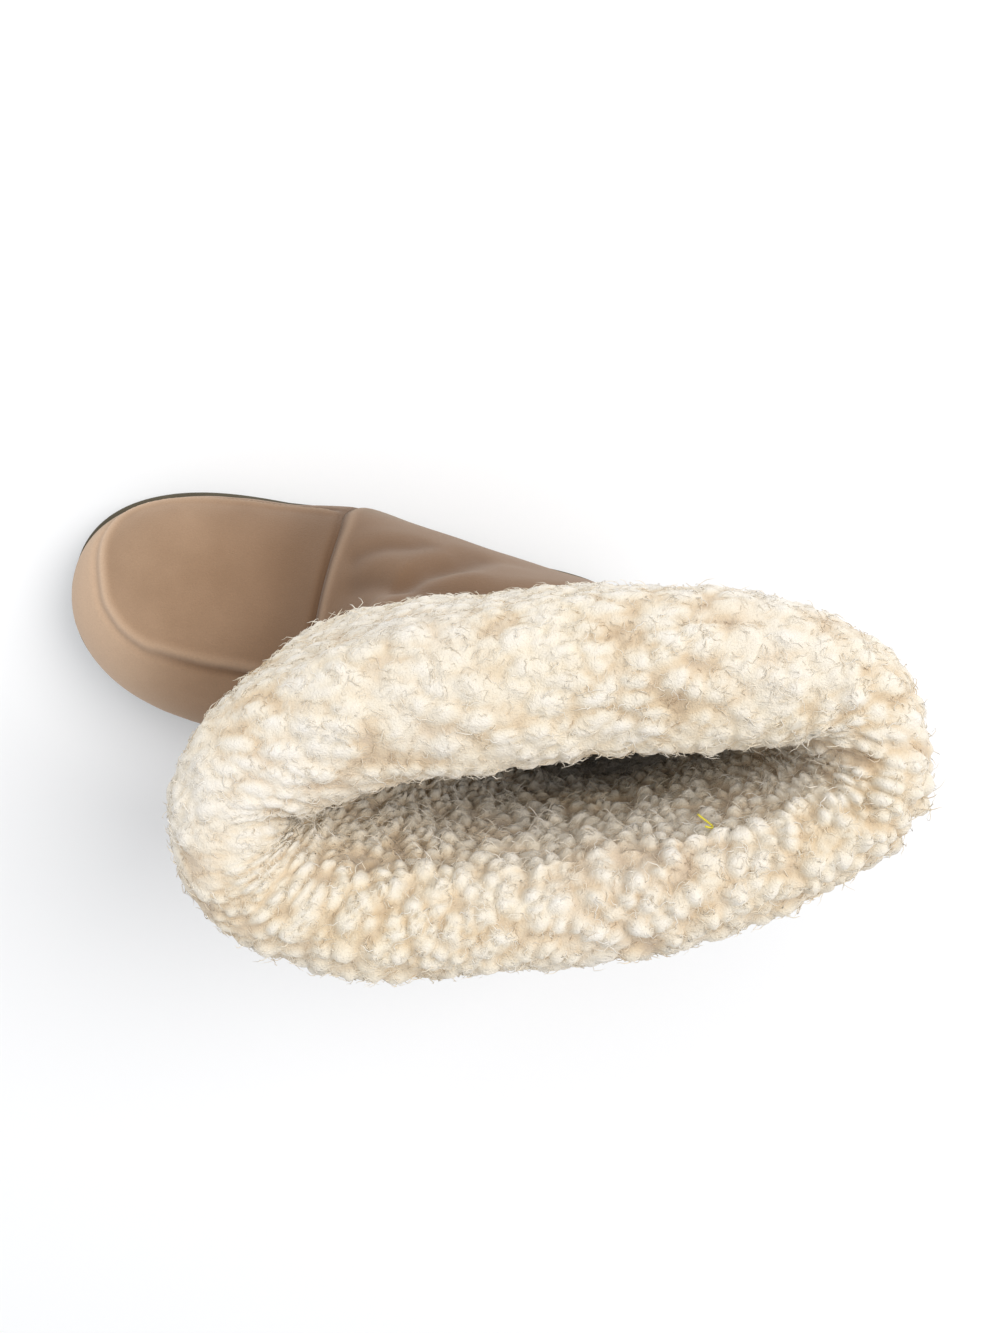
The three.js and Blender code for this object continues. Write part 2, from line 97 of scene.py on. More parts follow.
def outer(s, turn):
    """A point of the outer surface: a superellipse |cos|^q + |sin|^q = 1 across the section at s.
    turn is 0 on the vamp and shin, pi under the sole and on the heel, positive on the outer side."""
    s, turn = np.broadcast_arrays(np.asarray(s, float), np.asarray(turn, float))
    v = section(s)
    rear, front = v[..., 0:3].copy(), v[..., 3:6].copy()
    half, widest = v[..., 6], v[..., 7]
    tip = np.clip(-s, 0, 1)
    plan = (1 - tip**TOE_PLAN) ** (1 / TOE_PLAN)
    side = (1 - tip**TOE_SIDE) ** (1 / TOE_SIDE)
    level = rear[..., 2] + (front[..., 2] - rear[..., 2]) * widest
    for end in (rear, front):
        end[..., 0] += (TOE_X - end[..., 0]) * tip
        end[..., 1] += TOE_SWING * tip**2
    rear[..., 2] = level + (rear[..., 2] - level) * side
    front[..., 2] = np.where(tip > 0, level + (front[..., 2] - level - TOE_DROP * tip) * side, front[..., 2])
    chord = front - rear
    length = np.maximum(np.linalg.norm(chord, axis=-1, keepdims=True), 1e-6)
    along = chord / length
    across = np.array([0, 1.0, 0]) - along * along[..., 1:2]
    across /= np.linalg.norm(across, axis=-1, keepdims=True)
    c, w = np.cos(turn), np.sin(turn)
    square = np.where(c >= 0, v[..., 8], v[..., 9])
    reach = (np.abs(c) ** square + np.abs(w) ** square) ** (-1 / square)
    arm = np.where(c >= 0, 1 - widest, widest) * length[..., 0]
    return (rear + along * (widest * length[..., 0] + arm * reach * c)[..., None]
            + across * (half * plan * reach * w)[..., None])


def unit(v):
    """The same directions with length 1."""
    return v / np.maximum(np.linalg.norm(v, axis=-1, keepdims=True), 1e-9)


def outward(s, turn):
    """Which way is out: square to the surface round the foot, and level up the leg."""
    step = 0.01
    low = np.maximum(s - step, -0.9995)
    round_it = outer(s, turn + step) - outer(s, turn - step)
    along_it = outer(low + 2 * step, turn) - outer(low, turn)
    out = unit(np.cross(round_it, along_it))
    out[..., 2] *= 1 - smoothstep(outer(s, turn)[..., 2], INSTEP_Z, ANKLE_Z)
    return unit(out)


def skin(s, turn, out):
    """The surface moved out by some millimetres, or in where out is negative."""
    s, turn, out = np.broadcast_arrays(s, turn, out)
    return outer(s, turn) + outward(s, turn) * out[..., None]


def last_where(test, low, high):
    """For arrays of brackets, the last place where a test that holds at low still holds, by halving."""
    low, high = (np.array(x, float) for x in np.broadcast_arrays(low, high))
    for _ in range(30):
        middle = (low + high) / 2
        holds = test(middle)
        low, high = np.where(holds, middle, low), np.where(holds, high, middle)
    return low


# %% Side-view lines
SOLE_TOP = ((-20, 25), (40, 24), (90, 20), (140, 15.5), (190, 14), (235, 16), (262, 19), (290, 24))
SOLE_BASE = ((-20, 2.5), (2, 1.2), (14, 0), (78, 0), (92, 2.6), (122, 2.6), (138, 0), (206, 0), (245, 3.5),
             (290, 12))
SEAM = ((184, 122), (171, 99), (162.5, 83), (158.5, 69), (157, 54), (150, 41), (135, 35), (110, 34), (80, 38),
        (50, 47), (20, 57), (0, 62), (-30, 65))


def catmull(points, count):
    """count points along a smooth curve through the given ones."""
    p = np.asarray(points, float)
    p = np.vstack([2 * p[0] - p[1], p, 2 * p[-1] - p[-2]])
    at = np.linspace(0, len(p) - 3 - 1e-9, count)
    i, t = at.astype(int), (at % 1)[:, None]
    a, b, c, d = (p[i + k] for k in range(4))
    return 0.5 * (2 * b + (c - a) * t + (2 * a - 5 * b + 4 * c - d) * t**2 + (3 * b - a - 3 * c + d) * t**3)


def height_on(line, x):
    """Height of a side-view line at x: Hermite cubics with harmonic-mean slopes, so it never overshoots."""
    xs, zs = np.array(line, float).T
    rise = np.diff(zs) / np.diff(xs)
    before, after = rise[:-1], rise[1:]
    same = before * after > 0
    slope = np.zeros(len(xs))
    slope[1:-1][same] = 2 * (before * after)[same] / (before + after)[same]
    x = np.clip(x, xs[0], xs[-1])
    i = np.clip(np.searchsorted(xs, x, side="right") - 1, 0, len(xs) - 2)
    h = xs[i + 1] - xs[i]
    t = (x - xs[i]) / h
    return ((2 * t**3 - 3 * t**2 + 1) * zs[i] + (t**3 - 2 * t**2 + t) * h * slope[i]
            + (3 * t**2 - 2 * t**3) * zs[i + 1] + (t**3 - t**2) * h * slope[i + 1])


def over_seam(p):
    """How far a point is over the foot and leg's seam, from the side: tangent x offset, where nearest."""
    line = catmull(SEAM, 160)
    tangent = unit(np.gradient(line, axis=0))
    flat = p[..., [0, 2]].reshape(-1, 2)
    k = ((flat[:, None] - line[None]) ** 2).sum(-1).argmin(1)
    off = flat - line[k]
    return (tangent[k, 1] * off[:, 0] - tangent[k, 0] * off[:, 1]).reshape(p.shape[:-1])


# %% [markdown]
# Wool, nap and worn skin are all irregular, so we need noise. Blender's texture nodes have it for colours,
# but shape needs it on the points themselves. Two small functions give it: smooth value noise, and cells.
# Cells put one point in each cube of space and ask how far the two nearest ones are, which makes clumps with
# dark clefts between them, as curly wool has. A hash of whole numbers makes it the same on every run.


# %% Noise on arrays of points
def hashed(cell, seed):
    """A number from 0 to 1 for every whole-number cell: primes are mixed in and the bits stirred."""
    c = (cell.astype(np.int64) & 0xFFFFFFFF).astype(np.uint64)
    h = c[..., 0] * np.uint64(73856093) ^ c[..., 1] * np.uint64(19349663) ^ c[..., 2] * np.uint64(83492791)
    h = (h ^ np.uint64(seed * 2654435761 % 2**32)) & np.uint64(0xFFFFFFFF)
    for shift in (16, 13, 16):
        h = ((h ^ (h >> np.uint64(shift))) * np.uint64(0x45D9F3B)) & np.uint64(0xFFFFFFFF)
    return h.astype(float) / 2**32


def noise(p, size, seed):
    """Smooth noise from -1 to 1: random values at the corners of cubes of that size, eased between them."""
    q = p / size
    cell = np.floor(q)
    t = q - cell
    t = t * t * (3 - 2 * t)
    total = 0.0
    for corner in np.ndindex(2, 2, 2):
        weight = np.prod(np.where(np.array(corner) == 1, t, 1 - t), axis=-1)
        total = total + weight * hashed(cell + corner, seed)
    return 2 * total - 1


def noise3(p, size, seed):
    """Three noises at once, as a direction that wanders."""
    return np.stack([noise(p, size, seed + k) for k in range(3)], -1)


def cells(q, seed, wrap=None):
    """Distances to the two nearest random points, the way to the nearest, and its cell, in cells. There is
    one point in each cell; wrap joins the pattern up after that many cells along the first axis."""
    base = np.floor(q)
    first, second = np.full(q.shape[:-1], 9.0), np.full(q.shape[:-1], 9.0)
    toward, owner = np.zeros_like(q), np.zeros_like(q)
    for step in np.ndindex(3, 3, 3):
        cell = base + np.array(step) - 1
        named = cell.copy()
        if wrap:
            named[..., 0] %= wrap
        away = cell + np.stack([hashed(named, seed + k) for k in range(3)], -1) - q
        d = np.linalg.norm(away, axis=-1)
        closer = d < first
        second = np.where(closer, first, np.minimum(second, d))
        toward[closer], owner[closer] = away[closer], named[closer]
        first = np.where(closer, d, first)
    return first, second, toward, owner


# %% [markdown]
# Every soft piece here is a set of rings, like a sleeve. Blender could loft them with a curve and a bevel,
# but then the rows couldn't follow the seam. We write the points into an array, one row per ring, and let
# numpy make all the faces at once. A sleeve is closed either by joining its last ring to its first, or by
# one point in the middle of each end. The sign of the volume tells us whether the faces look outward.


# %% Rings to mesh
def make_mesh(name, points, faces, materials, slots=None, **attributes):
    """A smooth mesh object from millimetre points, with one number per point for each named attribute."""
    mesh = bpy.data.meshes.new(name)
    place = (points - ORIGIN) * 0.001
    faces = np.asarray(faces)
    mesh.vertices.add(len(place))
    mesh.vertices.foreach_set("co", place.astype(np.float32).ravel())
    corners = faces.shape[1]
    mesh.loops.add(faces.size)
    mesh.loops.foreach_set("vertex_index", faces.ravel().astype(np.int32))
    mesh.polygons.add(len(faces))
    mesh.polygons.foreach_set("loop_start", np.arange(0, faces.size, corners, dtype=np.int32))
    mesh.polygons.foreach_set("use_smooth", np.ones(len(faces), bool))
    if slots is not None:
        mesh.polygons.foreach_set("material_index", np.asarray(slots, np.int32))
    mesh.update(calc_edges=True)
    mesh.validate()
    for key, values in attributes.items():
        layer = mesh.attributes.new(key, "FLOAT", "POINT")
        layer.data.foreach_set("value", np.asarray(values, np.float32).ravel())
    for material in materials:
        mesh.materials.append(material)
    piece = bpy.data.objects.new(name, mesh)
    bpy.context.scene.collection.objects.link(piece)
    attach(piece, "root")
    print(f"{name}: {2 * len(faces) if corners == 4 else len(faces)} triangles")
    return piece


def sleeve(name, rings, materials, slots=None, loop=False, **attributes):
    """Triangles between rings of points; slots gives one material index per band between rings."""
    rows, across = rings.shape[:2]
    i = np.arange(rows if loop else rows - 1)[:, None]
    j = np.arange(across)[None]
    a, b = i * across + j, i * across + (j + 1) % across
    c, d = ((i + 1) % rows) * across + (j + 1) % across, ((i + 1) % rows) * across + j
    quads = np.stack([a, b, c, d], -1).reshape(-1, 4)
    faces = np.vstack([quads[:, [0, 1, 2]], quads[:, [0, 2, 3]]])
    band = None if slots is None else np.tile(np.repeat(slots, across), 2)
    points = rings.reshape(-1, 3)
    extra = {key: np.asarray(v, float).reshape(-1) for key, v in attributes.items()}
    if not loop:
        ends = np.array([0, rows - 1])
        points = np.vstack([points, rings[ends].mean(1)])
        extra = {k: np.append(v, v.reshape(rows, across)[ends].mean(1)) for k, v in extra.items()}
        start, stop = np.arange(across), (rows - 1) * across + np.arange(across)
        fan0 = np.stack([np.full(across, len(points) - 2), np.roll(start, -1), start], -1)
        fan1 = np.stack([np.full(across, len(points) - 1), stop, np.roll(stop, -1)], -1)
        faces = np.vstack([faces, fan0, fan1])
        if band is not None:
            band = np.concatenate([band, np.full(across, slots[0]), np.full(across, slots[-1])])
    x, y, z = (points[faces[:, k]] for k in range(3))
    volume = np.einsum("ij,ij->i", x, np.cross(y, z)).sum() / 6
    if volume < 0:
        faces = faces[:, ::-1]
    return make_mesh(name, points, faces, materials, band, **extra)


def ring_normals(rings, loop):
    """Directions square to a sleeve of rings, from the differences of its neighbours both ways."""
    across = np.roll(rings, -1, 1) - np.roll(rings, 1, 1)
    if loop:
        along = np.roll(rings, -1, 0) - np.roll(rings, 1, 0)
    else:
        along = np.gradient(rings, axis=0)
    return unit(np.cross(across, along))


# %% [markdown]
# Suede is skin with its flesh side out, brushed to a nap. It has no gloss: at a low angle the fine fibres
# catch light, which Principled's sheen does. The nap lies in patches that look lighter or darker. It is
# painted pale on ridges and round the toe, part wear and part painted highlight, olive grey towards the sole,
# and darker with painted shade in the grooves, the seam, the creases, over the leg and at the back of the
# foot. One node group makes the patches and the fine grain, and suede, wool, lining, footbed and sole all use
# it at their own sizes. The masks for the pale, the olive grey and the painted shade are painted by formula
# onto the points as attributes, because they follow the boot's own form.


# %% Node helpers
def node(tree, kind, **settings):
    """A new node; names in settings that are sockets get a value or a link, and the rest are properties."""
    made = tree.nodes.new(kind)
    for key, value in settings.items():
        if key in made.inputs.keys() or isinstance(key, int):
            feed(tree, made.inputs[key], value)
        else:
            setattr(made, key, value)
    return made


def feed(tree, socket, value):
    if isinstance(value, bpy.types.NodeSocket):
        tree.links.new(value, socket)
    else:
        socket.default_value = value


def math_node(tree, operation, a, b=0.0):
    made = tree.nodes.new("ShaderNodeMath")
    made.operation = operation
    feed(tree, made.inputs[0], a)
    feed(tree, made.inputs[1], b)
    return made.outputs[0]


def mix_colour(tree, share, a, b):
    made = tree.nodes.new("ShaderNodeMix")
    made.data_type = "RGBA"
    for socket, value in ((made.inputs["Factor"], share), (made.inputs[6], a), (made.inputs[7], b)):
        feed(tree, socket, value)
    return made.outputs[2]


def painted(tree, name):
    return node(tree, "ShaderNodeAttribute", attribute_name=name).outputs["Fac"]


# %% Patches and grain as one node group
def patches_group():
    """Patches: large soft noise from 0 to 1. Grain: fine noise, also as a height."""
    tree = bpy.data.node_groups.new("Patches and grain", "ShaderNodeTree")
    for name, value in (("Patch Scale", 30.0), ("Grain Scale", 1500.0)):
        tree.interface.new_socket(name, in_out="INPUT", socket_type="NodeSocketFloat").default_value = value
    for name in ("Patches", "Grain"):
        tree.interface.new_socket(name, in_out="OUTPUT", socket_type="NodeSocketFloat")
    entry, leave = tree.nodes.new("NodeGroupInput"), tree.nodes.new("NodeGroupOutput")
    place = node(tree, "ShaderNodeTexCoord").outputs["Object"]
    large_scale, fine_scale = entry.outputs["Patch Scale"], entry.outputs["Grain Scale"]
    large = node(tree, "ShaderNodeTexNoise", Vector=place, Scale=large_scale, Detail=3.0, Roughness=0.55)
    fine = node(tree, "ShaderNodeTexNoise", Vector=place, Scale=fine_scale, Detail=2.0, Roughness=0.6)
    spread = node(tree, "ShaderNodeMapRange", Value=large.outputs["Fac"])
    spread.inputs["From Min"].default_value, spread.inputs["From Max"].default_value = 0.3, 0.7
    tree.links.new(spread.outputs[0], leave.inputs["Patches"])
    tree.links.new(fine.outputs["Fac"], leave.inputs["Grain"])
    return tree


PATCHES = patches_group()


def start_material(name, patch_scale, grain_scale):
    """An empty Principled material with the patches group beside it."""
    material = bpy.data.materials.new(name)
    material.use_nodes = True
    tree = material.node_tree
    group = tree.nodes.new("ShaderNodeGroup")
    group.node_tree = PATCHES
    group.inputs["Patch Scale"].default_value = patch_scale
    group.inputs["Grain Scale"].default_value = grain_scale
    return material, tree, tree.nodes["Principled BSDF"], group.outputs["Patches"], group.outputs["Grain"]


def finish_surface(tree, shader, colour, grain, depth_mm, roughness, sheen, sheen_tint):
    """Colour and, where it has a depth, a bump into Principled, with its own sheen."""
    if depth_mm:
        bump = node(tree, "ShaderNodeBump", Height=grain, Distance=depth_mm * 0.001)
        tree.links.new(bump.outputs["Normal"], shader.inputs["Normal"])
    feed(tree, shader.inputs["Base Color"], colour)
    shader.inputs["Roughness"].default_value = roughness
    shader.inputs["Sheen Weight"].default_value = sheen
    shader.inputs["Sheen Roughness"].default_value = 0.6
    shader.inputs["Sheen Tint"].default_value = (*sheen_tint, 1)
    shader.inputs["Specular IOR Level"].default_value = 0.15


# %% Suede
def make_suede():
    """Tan, darker with painted shade, paler with wear and a painted highlight, olive grey towards the sole:
    shares mixed one after another.
    """
    material, tree, shader, patch, grain = start_material("suede", 28.0, 1400.0)
    nap = mix_colour(tree, patch, (*SUEDE_DARK, 1), (*SUEDE_LIGHT, 1))
    shaded = mix_colour(tree, painted(tree, "shade"), nap, (*SUEDE_SHADE, 1))
    rubbed = mix_colour(tree, painted(tree, "rub"), shaded, (*SUEDE_RUB_AND_HIGHLIGHT, 1))
    dirty = mix_colour(tree, painted(tree, "dirt"), rubbed, (*SUEDE_NEAR_FLOOR, 1))
    fine = mix_colour(tree, math_node(tree, "MULTIPLY", grain, 0.25), dirty, (*SUEDE_SHADE, 1))
    finish_surface(tree, shader, fine, grain, 0.25, 0.95, 0.25, (0.95, 0.85, 0.75))
    return material


SUEDE_DARK, SUEDE_LIGHT = (0.335, 0.207, 0.122), (0.43, 0.275, 0.17)
# the painted shade colour, the pale of wear with a painted highlight, and the olive grey towards the sole
SUEDE_SHADE, SUEDE_RUB_AND_HIGHLIGHT, SUEDE_NEAR_FLOOR = (0.135, 0.072, 0.037), (0.72, 0.52, 0.365), (0.20, 0.165, 0.115)
SUEDE = make_suede()


# %% Fleece lining, footbed and sole rubber
def make_plain(name, dark, light, patch_scale, grain_scale, depth_mm, sheen, dirt=None):
    """Two tones in patches with a fine grain, and another colour near the floor where it is painted."""
    material, tree, shader, patch, grain = start_material(name, patch_scale, grain_scale)
    half_patch, half_grain = (math_node(tree, "MULTIPLY", share, 0.5) for share in (patch, grain))
    both = math_node(tree, "ADD", half_patch, half_grain)
    colour = mix_colour(tree, both, (*dark, 1), (*light, 1))
    if dirt:
        colour = mix_colour(tree, painted(tree, "dirt"), colour, (*dirt, 1))
    finish_surface(tree, shader, colour, grain, depth_mm, 0.97, sheen, (1, 1, 1))
    return material


LINING = make_plain("fleece_lining", (0.58, 0.50, 0.40), (0.88, 0.83, 0.75), 260, 900, 1.2, 0.4)
FOOTBED = make_plain("footbed", (0.010, 0.010, 0.016), (0.030, 0.030, 0.045), 60, 1500, 0.3, 0.2)
RUBBER = make_plain("sole_rubber", (0.085, 0.073, 0.050), (0.135, 0.115, 0.083), 40, 1800, 0.2, 0.0,
                    (0.16, 0.13, 0.095))
THREAD = make_plain("thread", (0.72, 0.60, 0.03), (0.92, 0.82, 0.10), 200, 3000, 0.1, 0.2)

# %% [markdown]
# The wool is cream with nearly white tips, and tan where it grows out of the skin; the clefts between clumps
# are painted darker tan, part the roots' own colour and part painted shade where no light reaches.
# A single colour would look like foam. Here the depth in the pile, with painted shade in the clefts, is an
# attribute on the points, and large soft patches turn it a little yellow or a little cool. The fibres scatter
# light among themselves, so the wool gets sheen and full roughness.


# %% Wool
def make_wool(name, bump_mm):
    """Tan, cream and white by depth in the pile and painted shade in the clefts, with yellow and cool patches
    over it.
    """
    material, tree, shader, patch, grain = start_material(name, 22.0, 1500.0)
    # depth in the pile, with painted shade in the clefts between clumps
    depth = painted(tree, "pile")
    ramp = node(tree, "ShaderNodeValToRGB", Fac=depth)
    stops = ((0.0, WOOL_ROOT_AND_SHADE), (0.35, WOOL_LOW), (0.65, WOOL_BODY), (1.0, WOOL_TIP))
    for k, (at, colour) in enumerate(stops):
        stop = ramp.color_ramp.elements[k] if k < 2 else ramp.color_ramp.elements.new(at)
        stop.position, stop.color = at, (*colour, 1)
    some = math_node(tree, "MULTIPLY", patch, 0.30)
    warm = mix_colour(tree, some, ramp.outputs["Color"], (*WOOL_YELLOW, 1))
    toned = mix_colour(tree, math_node(tree, "MULTIPLY", painted(tree, "tone"), 0.25), warm, (*WOOL_COOL, 1))
    fine = mix_colour(tree, math_node(tree, "MULTIPLY", grain, 0.22), toned, (*WOOL_LOW, 1))
    finish_surface(tree, shader, fine, grain, bump_mm, 1.0, 0.35, (1, 0.98, 0.95))
    return material


# the roots' tan, which also serves as painted shade in the clefts
WOOL_ROOT_AND_SHADE, WOOL_LOW = (0.45, 0.30, 0.16), (0.70, 0.54, 0.35)
WOOL_BODY, WOOL_TIP = (0.85, 0.765, 0.62), (0.92, 0.885, 0.82)
WOOL_YELLOW, WOOL_COOL = (0.86, 0.74, 0.52), (0.84, 0.85, 0.88)
WOOL, FIBRE = make_wool("shearling", 0.5), make_wool("shearling_fibre", 0.0)

# %% [markdown]
# A worn boot is told by its lines. The front of the foot has a raised seam round the apron, pinched up by
# the stitches and pale with wear and a painted highlight. The leg has sagged, so the ankle is folded. Cloth
# simulation could make folds, but not these ones. Each line is given as a few places on the last, and pressed
# into the surface as a soft trough with a ridge on both sides; on the leg the trough also gets painted shade.


# %% Lines on the last
def on_last(places, count=160):
    """A smooth line on the surface through (station, turn in degrees) places."""
    path = catmull(places, count)
    return outer(path[:, 0], np.radians(path[:, 1]))


def near_line(p, line, core):
    """Distance to a line, how far along it the nearest place is from 0 to 1, and which side of it p is on."""
    flat = p.reshape(-1, 3)
    tangent = unit(np.gradient(line, axis=0))
    distance, along, side = np.empty(len(flat)), np.empty(len(flat)), np.empty(len(flat))
    for start in range(0, len(flat), 8192):
        part = flat[start:start + 8192]
        square = ((part[:, None] - line[None]) ** 2).sum(-1)
        k = square.argmin(1)
        distance[start:start + 8192] = np.sqrt(square[np.arange(len(part)), k])
        along[start:start + 8192] = k / (len(line) - 1)
        left = np.cross(tangent[k], line[k] - core)
        side[start:start + 8192] = np.einsum("ij,ij->i", unit(left), part - line[k])
    shape = p.shape[:-1]
    return distance.reshape(shape), along.reshape(shape), side.reshape(shape)


APRON = ((.85, -58), (.4, -63), (0, -66), (-.3, -65), (-.5, -66), (-.65, -66), (-.75, -62), (-.81, -53),
         (-.835, -41), (-.84, -30), (-.83, -18), (-.80, -2), (-.77, 8), (-.72, 15), (-.67, 19.5), (-.57, 23),
         (-.49, 22.5), (-.38, 22.3), (-.28, 22.2), (-.17, 21.5), (0, 21), (.3, 19), (.66, 17))
CORE = np.array([180.0, -8, 32])
CREASES = (  # name, depth, width, places
    ("instep", 1.5, 5.5, ((.94, -13), (2.16, -22), (3.87, -42), (4.09, -58), (3.93, -68), (3.6, -80))),
    ("shin", 1.5, 6.0, ((2.27, -19), (3.9, -38), (5.04, -53), (5.65, -77), (5.78, -85), (5.7, -110),
                        (5.5, -135))),
    ("waist", 0.9, 5.5, ((1.2, -25), (1.71, -34), (2.3, -45), (2.81, -54), (3.0, -66))),
    ("outer ankle", 3.0, 5.5, ((1.6, 20), (3.2, 38), (4.6, 55), (5.1, 75), (5.2, 95), (5.6, 120))),
    ("outer fold", 2.4, 6.0, ((4.4, 28), (5.6, 45), (6.1, 65), (6.2, 90), (6.4, 125), (6.5, 150))),
    ("heel fold", 2.6, 6.0, ((6.1, 135), (6.0, 160), (6.05, 180), (6.1, 205), (5.9, 235))),
    ("calf fold", 1.8, 7.0, ((7.0, 140), (6.9, 165), (6.95, 190), (7.1, 220))),
)


def pressed(p, weight=1.0):
    """Sum over the creases of ridge minus trough: gaussians of the distance to each, faded at its ends. Also
    the troughs, as a mask for painted shade.
    """
    lift, shade = np.zeros(p.shape[:-1]), np.zeros(p.shape[:-1])
    centre = np.array([90.0, 5, 90])
    for _, depth, width, places in CREASES:
        distance, along, _ = near_line(p, on_last(places), centre)
        fade = smoothstep(along, 0, 0.15) * (1 - smoothstep(along, 0.85, 1))
        trough = np.exp(-((distance / width) ** 2))
        ridge = np.exp(-(((distance - 2.1 * width) / (1.1 * width)) ** 2))
        lift += depth * fade * (0.5 * ridge - trough)
        shade = np.maximum(shade, fade * trough)
    return lift * weight, shade


# %% Columns through the seam
AROUND = 330


VAMP_TURN, HEEL_TURN = math.radians(62), math.radians(128)  # between them the seam runs along
TOE_LEAN, RIM_LEAN, LEAN_AT, LEAN_WIDE = (math.radians(angle) for angle in (16, 20, 102, 52))


def run_length(points):
    """Distance run from the first row to each row."""
    steps = np.linalg.norm(np.diff(points, axis=0), axis=-1)
    return np.concatenate([np.zeros_like(steps[:1]), steps.cumsum(0)])


def seam_side(side):
    """Stations and turns down one side of the seam, vamp to heel: by turn at the ends, by station between."""
    first, last = side * np.linspace(0, VAMP_TURN, 240), side * np.linspace(HEEL_TURN, math.pi, 240)
    front = last_where(lambda s: over_seam(outer(s, first)) < 0, -0.99, 4.0)
    back = last_where(lambda s: over_seam(outer(s, last)) < 0, 3.0, 6.6)
    waist = np.linspace(front[-1], back[0], 600)[1:-1]
    turn = last_where(lambda t: over_seam(outer(waist, side * t)) > 0, 0.0, math.pi)
    return np.concatenate([front, waist, back]), np.concatenate([first, side * turn, last])


def seam_columns(count):
    """Stations and turns of points round the seam, spread half by its length and half by how far it turns."""
    inner, outer_side = seam_side(-1), seam_side(1)
    station, turn = (np.append(a[::-1], b[1:]) for a, b in zip(inner, outer_side))
    length = run_length(outer(station, turn))
    turned = np.append(0, np.abs(np.diff(turn)).cumsum())
    share = 0.5 * length / length[-1] + 0.5 * turned / turned[-1]
    at = (np.arange(count) + 0.5) / count
    return np.interp(at, share, station), np.interp(at, share, turn)


def even_rows(start, end, rows):
    """Stations and turns down each column, evenly spaced on the surface; start and end are (stations, turns).
    Turns change most at the ends, so a column meets the seam squarely: t + 0.15 sin(2 pi t)."""
    t = np.linspace(0, 1, 240)[:, None]
    ease = (1 - np.cos(t * math.pi)) / 2
    s = start[0] + (end[0] - start[0]) * ease
    turn = start[1] + (end[1] - start[1]) * (t + 0.15 * np.sin(2 * math.pi * t))
    length = run_length(outer(s, turn))
    length = length / length[-1]
    at = np.linspace(0, 1, rows)
    columns = range(s.shape[1])
    return (np.stack([np.interp(at, length[:, k], s[:, k]) for k in columns], 1),
            np.stack([np.interp(at, length[:, k], turn[:, k]) for k in columns], 1))


CROSSING, SEAM_TURN = seam_columns(AROUND)
EVEN = ((np.arange(AROUND) + 0.5) / AROUND * 2 - 1) * math.pi
lean = np.sign(EVEN) * np.exp(-(((np.abs(EVEN) - LEAN_AT) / LEAN_WIDE) ** 2))
between = 0.20 * SEAM_TURN + 0.80 * EVEN
TOE_TURN, RIM_TURN = between + TOE_LEAN * lean, between - RIM_LEAN * lean
assert (np.diff(TOE_TURN) > 0).all() and (np.diff(RIM_TURN) > 0).all(), "columns cross"
print(f"the seam runs from station {CROSSING.min():.2f} on the vamp to {CROSSING.max():.2f} at the heel")

# %% [markdown]
# The foot is one piece of suede from the toe to the seam, with fleece on its inside. On the real boot the
# toe apron is a second panel, but both lie on one surface, so the seam is a ridge here and not an edge.
# Its rows run from the toe tip back to the seam, wherever that lies on each column.


# %% Foot
def eased(rings, rows):
    """Rings averaged along the sleeve, gaussian of that many rows; the ends are mirrored, so they stay."""
    reach = 3 * rows
    weight = np.exp(-0.5 * (np.arange(-reach, reach + 1) / rows) ** 2)
    weight /= weight.sum()
    before = 2 * rings[:1] - rings[reach:0:-1]
    after = 2 * rings[-1:] - rings[-2:-reach - 2:-1]
    long = np.concatenate([before, rings, after])
    return sum(w * long[k:k + len(rings)] for k, w in enumerate(weight))


def foot_relief(p, edge):
    """Height and paint on the foot: apron ridge and groove, seam dip, unevenness, paleness of wear with a
    painted highlight, painted shade, and olive grey low down.
    """
    distance, along, side = near_line(p, on_last(APRON, 260), CORE)
    ends = smoothstep(along, 0, 0.03) * (1 - smoothstep(along, 0.97, 1))
    ridge = np.exp(-((distance / 2.0) ** 2)) * ends
    off = np.where(side * APRON_OUT > 0, distance, 30)
    groove = np.exp(-(((off - 4.2) / 1.8) ** 2)) * ends
    fold = (1 - np.cos(along * 2 * math.pi * 90)) / 2
    height = ridge * (1.3 + 0.15 * fold) - 0.9 * groove + 0.35 * noise(p, 34, 5) + 0.12 * noise(p, 9, 6)
    dip = np.exp(-((edge / 2.2) ** 2))
    height -= 1.2 * dip
    over_sole = p[..., 2] - height_on(SOLE_TOP, p[..., 0])
    outside = smoothstep(np.where(side * APRON_OUT > 0, distance, -distance), -3, 5)
    front = smoothstep(p[..., 0], 205, 262)
    # paler on the apron ridge and round the toe's front: part wear, part painted highlight
    rub = np.clip(0.55 * ridge * (0.4 + 0.6 * front) + 0.62 * outside * front + 0.12 * front, 0, 1)
    # painted shadow at the back of the foot, under the cuff, and painted shade in the groove and the seam's
    # dip
    cuff_shadow = smoothstep(-p[..., 0] + 4 * noise(p, 30, 7), -236, -146)
    shade = np.clip(0.50 * groove * (1 - 0.6 * front) + 0.40 * dip + 0.85 * cuff_shadow, 0, 1)
    # darker olive grey low down towards the sole, and higher up at the toe
    dirt = 0.75 * (1 - smoothstep(over_sole + 2 * noise(p, 12, 8) - 7 * front, 0, 14))
    return height, rub, shade, dirt


